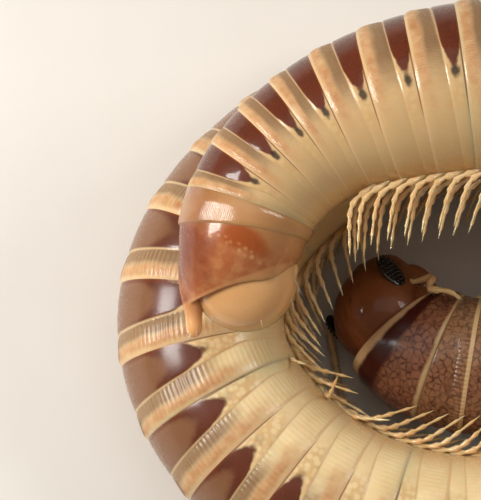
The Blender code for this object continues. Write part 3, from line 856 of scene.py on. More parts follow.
@dataclass
class Trunk:
    """The rings after the collum, in lengths of a few rings, one piece for each solid."""

    striae: Rows = ((12.0, 96), (16.0, 118), (19.0, 150), (22.5, 180))
    points_per_stria: int = 5
    most_points: int = 5400
    relief: Rows = ((12.0, 0.0085), (19.0, 0.0060), (23.0, 0.0050))
    belly_share: float = 0.984
    hind_share: Rows = ((3.0, 0.50), (6.5, 0.57), (12.0, 0.58), (19.0, 0.56), (24.0, 0.62))
    hind_limits: tuple[float, float] = (0.25, 0.72)
    rib_rise: Rows = ((1.0, 0), (1.05, 1), (1.80, 1), (1.94, 0.5), (1.985, 0.1), (2.0, 0))
    rib_round: Rows = ((-0.8, 0.22), (-0.15, 0.45), (0.35, 1.0))
    belly_calm: Rows = ((-0.75, 0.75), (-0.2, 0.0))
    seam_reach: float = 0.01
    seed: int = 5
    fore_profile: Rows = (
        (0.004, 0.979), (0.08, 0.983), (0.28, 0.985), (0.60, 0.986), (0.86, 0.985), (0.95, 0.982),
        (1.0, 0.974),
    )
    hind_profile: Rows = (
        (0.035, 0.973), (0.09, 0.980), (0.24, 0.987), (0.44, 0.994), (0.62, 1.001), (0.72, 1.002),
        (0.81, 0.999), (0.90, 0.992), (0.97, 0.986), (1.0, 0.979),
    )

    def stations(self) -> list[tuple[float, float]]:
        """Places from 0 to 1 on the fore part and on to 2 on the hind part, with shares of the radius."""
        hind = [(1 + place, share) for place, share in self.hind_profile]
        return [*[(place, share) for place, share in self.fore_profile], *hind]

    def laid(self, template: bpy.types.Object, index: int, striae: int, luck: float) -> bpy.types.Object:
        """Copies the ring and lays it on the coil.

        Args:
            template: the straight ring.
            index: which ring it becomes.
            striae: how many fine ribs go round its hind part.
            luck: a number of its own from 0 to 1.

        Returns:
            The ring in place, with the numbers that its finish reads.
        """
        ring = copied(template)
        straight = points_of(ring)
        place = straight[:, 2]
        share = np.hypot(straight[:, 0], straight[:, 1])
        turn = np.arctan2(straight[:, 1], straight[:, 0])
        start, end = EDGES[index], EDGES[index + 1]
        middle = (start + end) / 2
        size = float(table(PLAN.radius, middle))
        bend = float(np.interp(middle, COIL.along, COIL.bend)) * size
        back = np.cos(turn)
        hind = np.clip(float(table(self.hind_share, middle)) / (1 + bend * back), *self.hind_limits)
        within = np.where(place < 1, place * (1 - hind), (1 - hind) + (place - 1) * hind)
        rise = table(self.rib_rise, place) * table(self.rib_round, back)
        share = share + (self.belly_share - share) * table(self.belly_calm, back)
        share = share + rise * ribs(turn, striae) * float(table(self.relief, middle)) / size
        at = start + within * (end - start)
        set_points(ring, COIL.skin(at, turn, share))
        set_attribute(ring, "place", place)
        set_attribute(ring, "back", back)
        set_attribute(ring, "along", at)
        set_attribute(ring, "luck", np.full(len(at), luck))
        return ring

    @staticmethod
    def lengths() -> list[list[int]]:
        """The rings of each length, as the solids are divided."""
        rings = list(range(1, len(EDGES) - 1))
        step = PLAN.rings_per_length
        groups = [rings[i: i + step] for i in range(0, len(rings), step)]
        if len(groups[-1]) < step:
            spare = groups.pop()
            groups[-1] = groups[-1] + spare
        return groups

    def bridge(self, obj: bpy.types.Object, rings: int, sides: int) -> None:
        """Ties each ring's rear edge to the next one's front edge with a strip too narrow to see.

        The two edges stay apart, so that the bands' place along a ring can jump from 2 back to 0.

        Args:
            obj: the rings, joined in order.
            rings: how many there are.
            sides: points round each.
        """
        points = points_of(obj)
        size = len(points) // rings
        sheet = bmesh.new()
        sheet.from_mesh(obj.data)
        sheet.verts.ensure_lookup_table()
        for ring in range(rings - 1):
            rear, fore = (ring + 1) * size - sides, (ring + 1) * size
            if np.abs(points[rear: rear + sides] - points[fore: fore + sides]).max() > self.seam_reach:
                raise ValueError(f"{obj.name}: ring {ring} doesn't meet the next one point for point")
            for here in range(sides):
                after = (here + 1) % sides
                corners = (rear + here, rear + after, fore + after, fore + here)
                sheet.faces.new([sheet.verts[corner] for corner in corners])
        sheet.to_mesh(obj.data)
        sheet.free()

    @staticmethod
    def close_ends(obj: bpy.types.Object) -> None:
        """Fills a tube's two open ends with one face each and makes points that coincide one."""
        sheet = bmesh.new()
        sheet.from_mesh(obj.data)
        bmesh.ops.remove_doubles(sheet, verts=sheet.verts, dist=SEAM)
        rim = [edge for edge in sheet.edges if edge.is_boundary]
        bmesh.ops.holes_fill(sheet, edges=rim)
        bmesh.ops.recalc_face_normals(sheet, faces=sheet.faces)
        sheet.to_mesh(obj.data)
        sheet.free()

    def build(self, material: bpy.types.Material) -> None:
        """Models every length of the trunk, one piece for each solid.

        Args:
            material: the rings' finish.
        """
        draw = random.Random(self.seed)
        for number, group in enumerate(self.lengths(), 1):
            striae = round(float(table(self.striae, EDGES[group[len(group) // 2]])))
            sides = striae * min(self.points_per_stria, self.most_points // (striae * len(group)))
            template = extruded_tube("ring", sides, self.stations(), closed=False)
            rings = [self.laid(template, index, striae, draw.random()) for index in group]
            bpy.data.objects.remove(template, do_unlink=True)
            piece = joined(rings, f"rings_{number:02d}")
            self.bridge(piece, len(group), sides)
            self.close_ends(piece)
            finished(piece, material, [f"trunk_{number:02d}"], 70)


@dataclass
class LegPlan:
    """Sizes of a leg and the poses that it may take, the same as the solids have."""

    legless_end_rings: int = 4
    single_pair_rings: int = 3
    links: Sequence[float] = (0.12, 0.25, 0.27, 0.24)
    radii: Sequence[float] = (0.040, 0.039, 0.033, 0.027, 0.011)
    root_depth: float = 0.84
    hip_depth: float = 0.93
    hip_spread: float = 0.09
    root_spread: float = 0.054
    places: Sequence[float] = (0.36, 0.84)
    single_place: float = 0.62
    free_splay: Sequence[float] = (58, 46, 18, 4)
    tucked_splay: Sequence[float] = (82, 84, 84, 66)
    free_sweep: Sequence[float] = (30, 58, 36, 22)
    tucked_sweep: Sequence[float] = (40, 74, 76, 74)
    poses: Rows = (
        (0.0, 0.0), (0.12, 0.22), (0.0, -0.25), (0.25, 0.05), (0.0, 0.40), (0.25, 0.45), (0.30, -0.30),
        (0.50, 0.50), (0.50, 0.0), (0.0, -0.6), (0.75, 0.4), (0.0, 0.8), (0.3, 0.8), (0.0, -0.9), (0.5, -0.6),
        (1.0, 0.6), (1.0, 0.0), (0.6, 1.0), (1.0, 1.0), (1.0, -0.6), (-0.4, 0.3), (-0.5, -0.4), (-0.5, 0.8),
        (0.2, -1.3), (0.8, -1.1), (0.4, 1.3),
    )
    scales: Sequence[float] = (1.0, 0.9, 0.8, 0.68, 0.56, 0.45, 0.34)
    gap: float = 0.025
    leg_gap: float = 0.010

    def path(self, at: float, side: int, spread: float, sweep: float, scale: float) -> np.ndarray:
        """Points down a leg from inside the belly to its claw.

        Args:
            at: distance along the body.
            side: 1 for the upper flank's leg, -1 for the lower one's.
            spread: from 0, hanging free, to 1, drawn up to the flank.
            sweep: from 0, hanging free, to 1, laid back to the tail.
            scale: length against a full leg.

        Returns:
            Five points.
        """
        centre, tailward, dorsal, flank = COIL.frame(at)
        radius = float(table(PLAN.radius, at))
        belly = -dorsal
        outer = flank * side
        points = [
            centre + belly * radius * self.root_depth + outer * self.root_spread,
            centre + belly * radius * self.hip_depth + outer * self.hip_spread,
        ]
        for link, size in enumerate(self.links[1:], 1):
            free, tucked = self.free_splay[link], self.tucked_splay[link]
            splay = math.radians(free + spread * (tucked - free))
            free, tucked = self.free_sweep[link], self.tucked_sweep[link]
            back = math.radians(free + sweep * (tucked - free))
            ahead = belly * math.cos(splay) + outer * math.sin(splay)
            points.append(points[-1] + (ahead * math.cos(back) + tailward * math.sin(back)) * size * scale)
        return np.array(points)

    def pairs(self) -> dict[int, list[float]]:
        """Distances along the body of each ring's leg pairs."""
        found = {}
        for index in range(1, len(EDGES) - 1 - self.legless_end_rings):
            start, end = EDGES[index], EDGES[index + 1]
            places = (self.single_place,) if index <= self.single_pair_rings else self.places
            found[index] = [start + (end - start) * place for place in places]
        return found


LEG_PLAN = LegPlan()


class LegPlacer:
    """Chooses for each leg the first pose that keeps clear of the body, the floor and other legs.

    A leg is tested as balls on straight links, from ROOT_STEPS balls down it, as its root lies in its ring.
    It may lie OWN_LAP deep in the rings within NEAR of it, and keeps SISTER_GAP from legs of its own length.
    Where no pose has room, the one that comes nearest to it is taken.
    """

    ROOT_STEPS = 6
    NEAR = 1.3
    STEPS = 4
    TRUNK_STEP = 0.05
    OWN_STEPS = 6
    OWN_LAP = 0.015
    SISTER_GAP = 0.006

    def __init__(self, balls: Sequence[tuple[Point, float]]) -> None:
        """Measures what is already there.

        Args:
            balls: centres and radii that stand in for the head, antennae and telson.
        """
        self.trunk_at = np.arange(0.0, COIL.end, self.TRUNK_STEP)
        self.trunk = COIL.frames(self.trunk_at)[0]
        self.trunk_radius = table(PLAN.radius, self.trunk_at)
        self.taken = np.array([ball[0] for ball in balls])
        self.taken_radius = np.array([ball[1] for ball in balls])
        self.taken_node = np.zeros(len(balls), int)

    def fine(self, points: np.ndarray) -> tuple[np.ndarray, np.ndarray]:
        """A leg's path and radii with its links divided."""
        places = np.linspace(0, len(points) - 1, (len(points) - 1) * self.STEPS + 1)
        index = np.arange(len(points))
        dense = np.stack([np.interp(places, index, points[:, k]) for k in range(3)], 1)
        return dense, np.interp(places, index, LEG_PLAN.radii)

    def room(self, points: np.ndarray, at: float, node: int) -> float:
        """Smallest clearance of a leg from all that it mustn't touch."""
        dense, thick = self.fine(points)
        leg = dense[self.ROOT_STEPS:]
        thick = thick[self.ROOT_STEPS:]
        gap = LEG_PLAN.gap
        floor = (leg[:, 2] - thick).min() - gap
        apart = np.linalg.norm(leg[:, None] - self.trunk[None], axis=2) - self.trunk_radius
        apart -= thick[:, None]
        other = np.abs(self.trunk_at - at) > self.NEAR
        own = apart[self.OWN_STEPS:, ~other].min() + self.OWN_LAP
        far = apart[:, other].min() - gap
        gaps = np.linalg.norm(leg[:, None] - self.taken[None], axis=2)
        gaps -= thick[:, None] + self.taken_radius
        stranger = self.taken_node != node
        clear = np.where(self.taken_node == 0, gap, LEG_PLAN.leg_gap)
        strangers = (gaps - clear)[:, stranger].min()
        sisters = gaps[1:, ~stranger].min() - self.SISTER_GAP if (~stranger).any() else 1.0
        return float(min(floor, own, far, strangers, sisters))

    def place(self, at: float, side: int, node: int) -> np.ndarray:
        """The path of a leg that has room, or else of the one that comes nearest to having it."""
        best = (-math.inf, np.zeros((5, 3)))
        for scale in LEG_PLAN.scales:
            for spread, sweep in LEG_PLAN.poses:
                points = LEG_PLAN.path(at, side, spread, sweep, scale)
                room = self.room(points, at, node)
                if room > best[0]:
                    best = (room, points)
                if room >= 0:
                    break
            if best[0] >= 0:
                break
        dense, thick = self.fine(best[1])
        self.taken = np.concatenate([self.taken, dense[self.ROOT_STEPS:]])
        self.taken_radius = np.concatenate([self.taken_radius, thick[self.ROOT_STEPS:]])
        added = len(dense) - self.ROOT_STEPS
        self.taken_node = np.concatenate([self.taken_node, np.full(added, node)])
        return best[1]


HAIR_TAPER = ((0.0, 1.0), (0.35, 0.8), (0.7, 0.5), (1.0, 0.12))


def bristle(start: Point, way: Point, length: float, thick: float, droop: Point) -> bpy.types.Object:
    """One tapered hair.

    Args:
        start: its root.
        way: the direction that it leaves in.
        length: how long it is.
        thick: its radius at the root.
        droop: how its tip is drawn aside.

    Returns:
        A closed four-sided hair.
    """
    hair = extruded_tube("hair", 4, [(place, thick * share) for place, share in HAIR_TAPER])
    way = unit(np.asarray(way, float))
    path = np.array([start, start + way * length * 0.5 + droop * 0.2, start + way * length + droop])
    set_points(hair, laid_on_path(points_of(hair), path, unit(np.cross(way, way[[1, 2, 0]] + 0.1))))
    recalculate(hair)
    return hair


@dataclass
class Legs:
    """All the legs of each length of the trunk."""

    sides: int = 8
    articles: Sequence[float] = (0.0, 0.16, 0.34, 0.50, 0.64, 0.78, 1.0)
    thick: Sequence[float] = (0.034, 0.035, 0.031, 0.028, 0.024, 0.019, 0.009)
    swelling: float = 1.22
    waist: float = 0.64
    spine_places: Sequence[float] = (0.30, 0.47, 0.61, 0.75, 0.86)
    spine_length: float = 0.045
    spine_thick: float = 0.004
    spine_sink: float = 0.7
    spine_lean: tuple[float, float] = (0.8, 1.1)
    root: float = -0.06
    claw: Rows = ((1.05, 0.006), (1.09, 0.002))
    article_knots: Sequence[float] = (0.10, 0.45, 0.84)
    middle_share: float = 0.92
    roll: float = 0.3
    tip_shade: float = 0.5

    def template(self) -> bpy.types.Object:
        """One straight leg on Z: articles with swollen ends, a claw and a few spines."""
        stations = [(self.root, self.thick[0])]
        waist, middle, swollen = self.article_knots
        for low, high, before, after in zip(self.articles, self.articles[1:], self.thick, self.thick[1:]):
            length = high - low
            stations.append((low + length * waist, before * self.waist))
            stations.append((low + length * middle, (before + after) / 2 * self.middle_share))
            stations.append((low + length * swollen, (before + after) / 2 * self.swelling))
        stations += [(1.0, self.thick[-1]), *self.claw]
        leg = extruded_tube("leg", self.sides, stations)
        spines = [self.spine(place) for place in self.spine_places]
        return joined([leg, *spines], "leg_template")

    def spine(self, place: float) -> bpy.types.Object:
        """A small spine leaning to the claw, in the straight leg's own units."""
        deselect()
        reach = float(np.interp(place, self.articles, self.thick))
        bpy.ops.mesh.primitive_cone_add(
            vertices=3, radius1=self.spine_thick, depth=self.spine_length, location=(0, 0, 0)
        )
        spine = active()
        points = points_of(spine)
        out = points[:, 2] + self.spine_length / 2
        aside, along = self.spine_lean
        away = points[:, 0] + reach * self.spine_sink + out * aside
        set_points(spine, np.stack([away, points[:, 1], place + out * along], 1))
        return spine

    def build(self, material: bpy.types.Material, balls: Sequence[tuple[Point, float]]) -> None:
        """Copies the leg into each place.

        Args:
            material: the legs' finish.
            balls: what stands in for the head, antennae and telson.
        """
        template = self.template()
        straight = points_of(template)
        shade = np.clip(straight[:, 2], 0, 1)
        placer = LegPlacer(balls)
        pairs = LEG_PLAN.pairs()
        for number, group in enumerate(Trunk.lengths(), 1):
            legs = []
            for index in group:
                for at in pairs.get(index, ()):
                    for side in (1, -1):
                        path = placer.place(at, side, number)
                        leg = copied(template)
                        _, tailward, _, flank = COIL.frame(at)
                        set_points(leg, laid_on_path(straight, path, flank * side + tailward * self.roll))
                        set_attribute(leg, "shade", shade * self.tip_shade)
                        legs.append(leg)
            if legs:
                piece = joined(legs, f"legs_{number:02d}")
                recalculate(piece)
                finished(piece, material, (), 60)
        bpy.data.objects.remove(template, do_unlink=True)


@dataclass
class HeadPlan:
    """Sizes of the head, the same as the solids have, ahead of the collum's front."""

    roll: float = 45
    sections: Rows = (
        (-0.30, 0.26, 0.24, -0.26),
        (-0.10, 0.42, 0.42, -0.40),
        (0.12, 0.50, 0.51, -0.48),
        (0.34, 0.50, 0.49, -0.50),
        (0.52, 0.43, 0.37, -0.50),
        (0.66, 0.31, 0.19, -0.46),
        (0.75, 0.15, -0.02, -0.34),
    )
    eye_place: tuple[float, float, float] = (0.40, 0.485, 0.10)
    cheek_place: tuple[float, float, float] = (0.20, 0.34, -0.27)
    cheek_size: tuple[float, float, float] = (0.24, 0.17, 0.17)
    chin_place: tuple[float, float, float] = (0.24, 0.0, -0.48)
    chin_size: tuple[float, float, float] = (0.26, 0.22, 0.12)
    upper_antenna: Rows = (
        (0.38, -0.38, 0.12),
        (0.17, -0.41, 0.36),
        (0.08, -0.56, 0.44),
        (0.00, -0.43, 0.56),
        (-0.15, -0.55, 0.58),
        (-0.29, -0.60, 0.58),
    )
    lower_antenna: Rows = (
        (0.46, 0.30, -0.26),
        (0.50, 0.46, -0.32),
        (0.34, 0.58, -0.42),
        (0.16, 0.68, -0.48),
        (0.02, 0.76, -0.52),
        (-0.10, 0.82, -0.53),
    )
    antenna_radii: Sequence[float] = (0.045, 0.050, 0.050, 0.052, 0.050, 0.030)


HEAD_PLAN = HeadPlan()


class HeadFrame:
    """Places on the head: ahead of the collum's front, to the camera's side and towards the crown."""

    def __init__(self) -> None:
        """Takes the body's directions at the collum's front and rolls them."""
        self.centre, tailward, self.dorsal, self.flank = COIL.frame(0.0)
        roll = math.radians(HEAD_PLAN.roll)
        self.ahead = -tailward
        self.crown = self.dorsal * math.cos(roll) + self.flank * math.sin(roll)
        self.side = self.flank * math.cos(roll) - self.dorsal * math.sin(roll)

    def points(self, local: np.ndarray) -> np.ndarray:
        """Points from rows of ahead, side and crown."""
        rows = np.atleast_2d(local)
        return self.centre + rows @ np.stack([self.ahead, self.side, self.crown])

    def body_points(self, local: Rows) -> np.ndarray:
        """Points from rows of ahead, towards the back and up."""
        return self.centre + np.atleast_2d(local) @ np.stack([self.ahead, self.dorsal, self.flank])


HEAD = HeadFrame()


@dataclass
class Head:
    """The head capsule, with its cheeks, chin plate, labrum, eyes, antennae and hairs."""

    segments: int = 96
    rings: int = 72
    ocelli_rows: Sequence[int] = (4, 6, 7, 8, 8, 7, 6, 5, 3)
    ocellus_radius: float = 0.0165
    ocellus_pitch: float = 0.037
    articles: Sequence[float] = (0.0, 0.07, 0.27, 0.45, 0.62, 0.80, 0.94, 1.0)
    eye_pad: tuple[float, float, float] = (0.205, 0.042, 0.125)
    antenna_share: float = 0.78
    row_stretch: float = 1.15
    eye_reach: tuple[float, float] = (0.19, 0.115)
    nose: float = 0.03
    cap_rise: float = 1.9
    cap_power: float = 0.7
    snout: tuple[float, float] = (0.93, 0.07)
    squareness: float = 0.92
    crease: tuple[float, float, float] = (0.012, 0.012, 0.2)
    brow: tuple[float, float, float, float] = (0.008, 0.56, 0.03, -0.3)
    hair_count: int = 26
    hair_turn: float = 2.4
    seed: int = 3

    @staticmethod
    def outline(ahead: np.ndarray) -> tuple[np.ndarray, np.ndarray, np.ndarray]:
        """Half width, top and bottom of the head at distances ahead of the collum."""
        rows = np.array(HEAD_PLAN.sections)
        dense = natural_spline(rows[:, 0], rows[:, 1:], np.clip(ahead, rows[0, 0], rows[-1, 0]))
        return dense[:, 0], dense[:, 1], dense[:, 2]

    def capsule(self) -> bpy.types.Object:
        """The head's shell, from a sphere whose pole points ahead."""
        obj = sphere(self.segments, self.rings)
        ball = points_of(obj)
        low, high = HEAD_PLAN.sections[0][0], HEAD_PLAN.sections[-1][0] + self.nose
        share = (ball[:, 2] + 1) / 2
        ahead = low + (high - low) * share
        half, top, bottom = self.outline(ahead)
        ring = np.hypot(ball[:, 0], ball[:, 1])
        turn = np.arctan2(ball[:, 1], ball[:, 0])
        cap = np.clip(ring * self.cap_rise, 0, 1) ** self.cap_power
        fore = np.clip((share - self.snout[0]) / self.snout[1], 0, 1)
        shrink = cap * np.sqrt(np.clip(1 - fore ** 2, 0, 1))
        middle = (top + bottom) / 2
        tall = (top - bottom) / 2
        power = self.squareness
        side = np.sign(np.cos(turn)) * np.abs(np.cos(turn)) ** power * half * shrink
        crown = middle + np.sign(np.sin(turn)) * np.abs(np.sin(turn)) ** power * tall * shrink
        depth, width, above = self.crease
        crown = crown - depth * np.exp(-(side / width) ** 2) * (crown > above)
        depth, spot, width, above = self.brow
        crown = crown - depth * (np.exp(-((ahead - spot) / width) ** 2) * (crown > above))
        local = np.stack([ahead, side, crown], 1)
        set_points(obj, HEAD.points(local))
        set_attribute(obj, "shade", np.clip(0.5 - crown, 0, 1))
        obj.name = "head_capsule"
        recalculate(obj, SEAM)
        return obj

    @staticmethod
    def lump(name: str, place: Sequence[float], size: Sequence[float], mirror: float) -> bpy.types.Object:
        """A smooth swelling on the head, from a sphere."""
        obj = sphere(48, 24)
        ball = points_of(obj)
        local = ball * np.array(size) + np.array((place[0], place[1] * mirror, place[2]))
        set_points(obj, HEAD.points(local))
        set_attribute(obj, "shade", np.clip(ball[:, 0] * 0.5 + 0.5, 0, 1))
        obj.name = name
        recalculate(obj)
        return obj

    def eye(self, mirror: float, name: str) -> bpy.types.Object:
        """A patch of simple eyes in rows on a low dark pad."""
        pad = self.lump(name, HEAD_PLAN.eye_place, self.eye_pad, mirror)
        domes = [pad]
        ahead0, side0, crown0 = HEAD_PLAN.eye_place
        for row, count in enumerate(self.ocelli_rows):
            for k in range(count):
                ahead = (row - (len(self.ocelli_rows) - 1) / 2) * self.ocellus_pitch * self.row_stretch
                crown = (k - (count - 1) / 2) * self.ocellus_pitch
                if (ahead / self.eye_reach[0]) ** 2 + (crown / self.eye_reach[1]) ** 2 > 1:
                    continue
                long, deep, tall = self.eye_pad
                out = deep * math.sqrt(max(0.0, 1 - (ahead / long) ** 2 - (crown / tall) ** 2))
                dome = sphere(14, 8, self.ocellus_radius)
                local = points_of(dome) + np.array((ahead0 + ahead, (side0 + out) * mirror, crown0 + crown))
                set_points(dome, HEAD.points(local))
                shaded(dome, 0.3)
                domes.append(dome)
        piece = joined(domes, name)
        recalculate(piece)
        return piece

    def antenna(self, rows: Rows, name: str) -> bpy.types.Object:
        """Seven articles that widen to their ends, with short hairs and the cones at the tip."""
        path = HEAD.body_points(rows)
        knots = np.linspace(0, 1, len(rows))
        stations = [(-0.03, 0.03)]
        for low, high in zip(self.articles, self.articles[1:]):
            length = high - low
            thin, wide = (
                float(np.interp(spot, knots, HEAD_PLAN.antenna_radii)) * self.antenna_share
                for spot in (low, high)
            )
            stations.append((low + length * 0.06, thin * 0.62))
            stations.append((low + length * 0.45, (thin + wide) / 2 * 0.84))
            stations.append((low + length * 0.86, wide * 0.98))
            stations.append((low + length * 0.97, wide * 0.80))
        stations += [(1.0, 0.018), (1.01, 0.006)]
        obj = extruded_tube(name, 16, stations)
        set_points(obj, laid_on_path(points_of(obj), path, HEAD.flank))
        places, ways = along_path(path, np.linspace(0.12, 0.96, self.hair_count))
        hairs = []
        draw = random.Random(self.seed)
        for number, (place, way) in enumerate(zip(places, ways)):
            turn = number * self.hair_turn
            out = unit(np.cross(way, UP)) * math.cos(turn) + UP * math.sin(turn)
            out = unit(out - way * (out @ way))
            hairs.append(bristle(place + out * 0.035, out + way * 1.1, 0.05 + 0.02 * draw.random(), 0.003,
                                 np.zeros(3)))
        for spread in ((0.008, 0), (-0.008, 0), (0, 0.008), (0, -0.008)):
            base = places[-1] + ways[-1] * 0.02 + HEAD.dorsal * spread[0] + UP * spread[1]
            hairs.append(bristle(base, ways[-1], 0.045, 0.006, np.zeros(3)))
        piece = joined([obj, *hairs], name)
        recalculate(piece)
        shaded(piece, 0.3)
        return piece

    def labrum(self) -> bpy.types.Object:
        """The notched upper lip, a small curved plate at the front of the face."""
        deselect()
        bpy.ops.mesh.primitive_grid_add(x_subdivisions=24, y_subdivisions=6, size=1.0)
        obj = active()
        flat = points_of(obj)
        across = flat[:, 0] * 2
        down = flat[:, 1] + 0.5
        side = across * 0.17
        notch = 0.035 * np.exp(-(across / 0.22) ** 2) * (1 - down)
        crown = -0.445 + down * 0.10 + notch
        ahead = 0.735 - 0.22 * across ** 2 * 0.5 - (1 - down) * 0.05
        set_points(obj, HEAD.points(np.stack([ahead, side, crown], 1)))
        modified(obj, "SOLIDIFY", thickness=0.03, offset=0)
        obj.name = "labrum"
        recalculate(obj)
        shaded(obj, 0.8)
        return obj

    def face_hairs(self) -> bpy.types.Object:
        """Sparse hairs on the lip, brow and cheeks."""
        hairs = []
        spots = [(0.70, side, -0.40, 1.0) for side in np.linspace(-0.15, 0.15, 7)]
        spots += [(0.60, side, 0.22, 0.7) for side in (-0.12, 0.12)]
        spots += [(0.68, side, -0.05, 0.7) for side in (-0.18, -0.06, 0.06, 0.18)]
        for ahead, side, crown, size in spots:
            start = HEAD.points(np.array((ahead, side, crown)))[0]
            way = HEAD.ahead + HEAD.side * side - HEAD.crown * 0.6 * (crown < -0.3)
            hairs.append(bristle(start, way, 0.10 * size, 0.0035, np.zeros(3)))
        piece = joined(hairs, "face_hairs")
        shaded(piece, 0.2)
        return piece

    def build(self, shell: bpy.types.Material, pale: bpy.types.Material, limb: bpy.types.Material,
              eye: bpy.types.Material, hair: bpy.types.Material) -> None:
        """Models and dresses the whole head.

        Args:
            shell: finish of the head and cheeks.
            pale: finish of the chin and lip.
            limb: finish of the antennae.
            eye: finish of the eyes.
            hair: finish of the hairs.
        """
        finished(self.capsule(), shell, ["head"], None)
        for mirror, tag in ((1, "upper"), (-1, "lower")):
            cheek = self.lump(f"mandible_{tag}", HEAD_PLAN.cheek_place, HEAD_PLAN.cheek_size, mirror)
            finished(cheek, shell, [f"cheek_{tag}"], None)
            finished(self.eye(mirror, f"ocelli_{tag}"), eye, [f"eye_{tag}"], None)
        finished(self.lump("chin_plate", HEAD_PLAN.chin_place, HEAD_PLAN.chin_size, 0), pale,
                 ["chin"], None)
        finished(self.labrum(), pale, (), 50)
        finished(self.antenna(HEAD_PLAN.upper_antenna, "feeler_upper"), limb,
                 ["antenna_upper"], 50)
        finished(self.antenna(HEAD_PLAN.lower_antenna, "feeler_lower"), limb,
                 ["antenna_lower"], 50)
        finished(self.face_hairs(), hair, (), 60)


@dataclass
class Collum:
    """The wide first plate, lined inside, with fine grooves on its flanks and belly."""

    sides: int = 240
    profile: Rows = (
        (0.0, 0.90), (0.012, 0.925), (0.035, 0.945), (0.08, 0.960), (0.20, 0.982), (0.40, 0.997),
        (0.60, 1.003), (0.78, 1.003), (0.88, 0.998), (0.94, 0.990), (0.98, 0.972), (1.0, 0.94),
    )
    lining: Rows = ((0.9, 0.88), (0.4, 0.86), (0.06, 0.86))
    grooves: int = 100
    groove_depth: float = 0.004
    groove_reach: Rows = ((0.6, 0), (0.85, 1), (0.95, 0))
    groove_top: float = 0.2

    def build(self, material: bpy.types.Material) -> None:
        """Models the plate as one closed shell, with a disc across its front that the head goes through.

        Args:
            material: its finish.
        """
        stations = [*self.profile, *self.lining]
        obj = extruded_tube("collum_plate", self.sides, stations, closed=False)
        straight = points_of(obj)
        turn = np.arctan2(straight[:, 1], straight[:, 0])
        share = np.hypot(straight[:, 0], straight[:, 1])
        place = straight[:, 2]
        back = np.cos(turn)
        at = place * (EDGES[1] - EDGES[0])
        wave = np.cos(turn * self.grooves) * self.groove_depth * table(self.groove_reach, place)
        wave = wave * (back < self.groove_top)
        set_points(obj, COIL.skin(at, turn, share + wave))
        set_attribute(obj, "place", np.clip(place, 0, 1))
        recalculate(obj)
        Trunk.close_ends(obj)
        finished(obj, material, ["collum"], 55)


class TelsonFrame:
    """Places on the tail end: behind the last ring, towards the back and up the flank."""

    sections = (
        ((0.02, 0.655), (0.02, -0.650), 0.65),
        ((0.30, 0.615), (0.10, -0.625), 0.635),
        ((0.57, 0.535), (0.19, -0.620), 0.60),
        ((0.84, 0.415), (0.28, -0.610), 0.52),
        ((1.07, 0.255), (0.37, -0.580), 0.40),
    )
    club = (
        ((0.66, 0.355), 0.150),
        ((0.92, 0.265), 0.130),
        ((1.06, 0.205), 0.100),
        ((1.16, 0.163), 0.084),
        ((1.26, 0.122), 0.078),
        ((1.315, 0.101), 0.064),
        ((1.345, 0.090), 0.034),
    )
    valve_centre = (0.62, -0.16)
    valve_size = (0.51, 0.53, 0.37)
    scale_place = (0.52, -0.600)
    scale_size = (0.19, 0.058, 0.13)

    def __init__(self) -> None:
        """Takes the body's directions at the last ring's rear."""
        self.centre, self.behind, self.dorsal, self.flank = COIL.frame(COIL.end)

    def points(self, local: np.ndarray) -> np.ndarray:
        """Points from rows of behind, towards the back and up the flank."""
        return self.centre + np.atleast_2d(local) @ np.stack([self.behind, self.dorsal, self.flank])


TAIL = TelsonFrame()


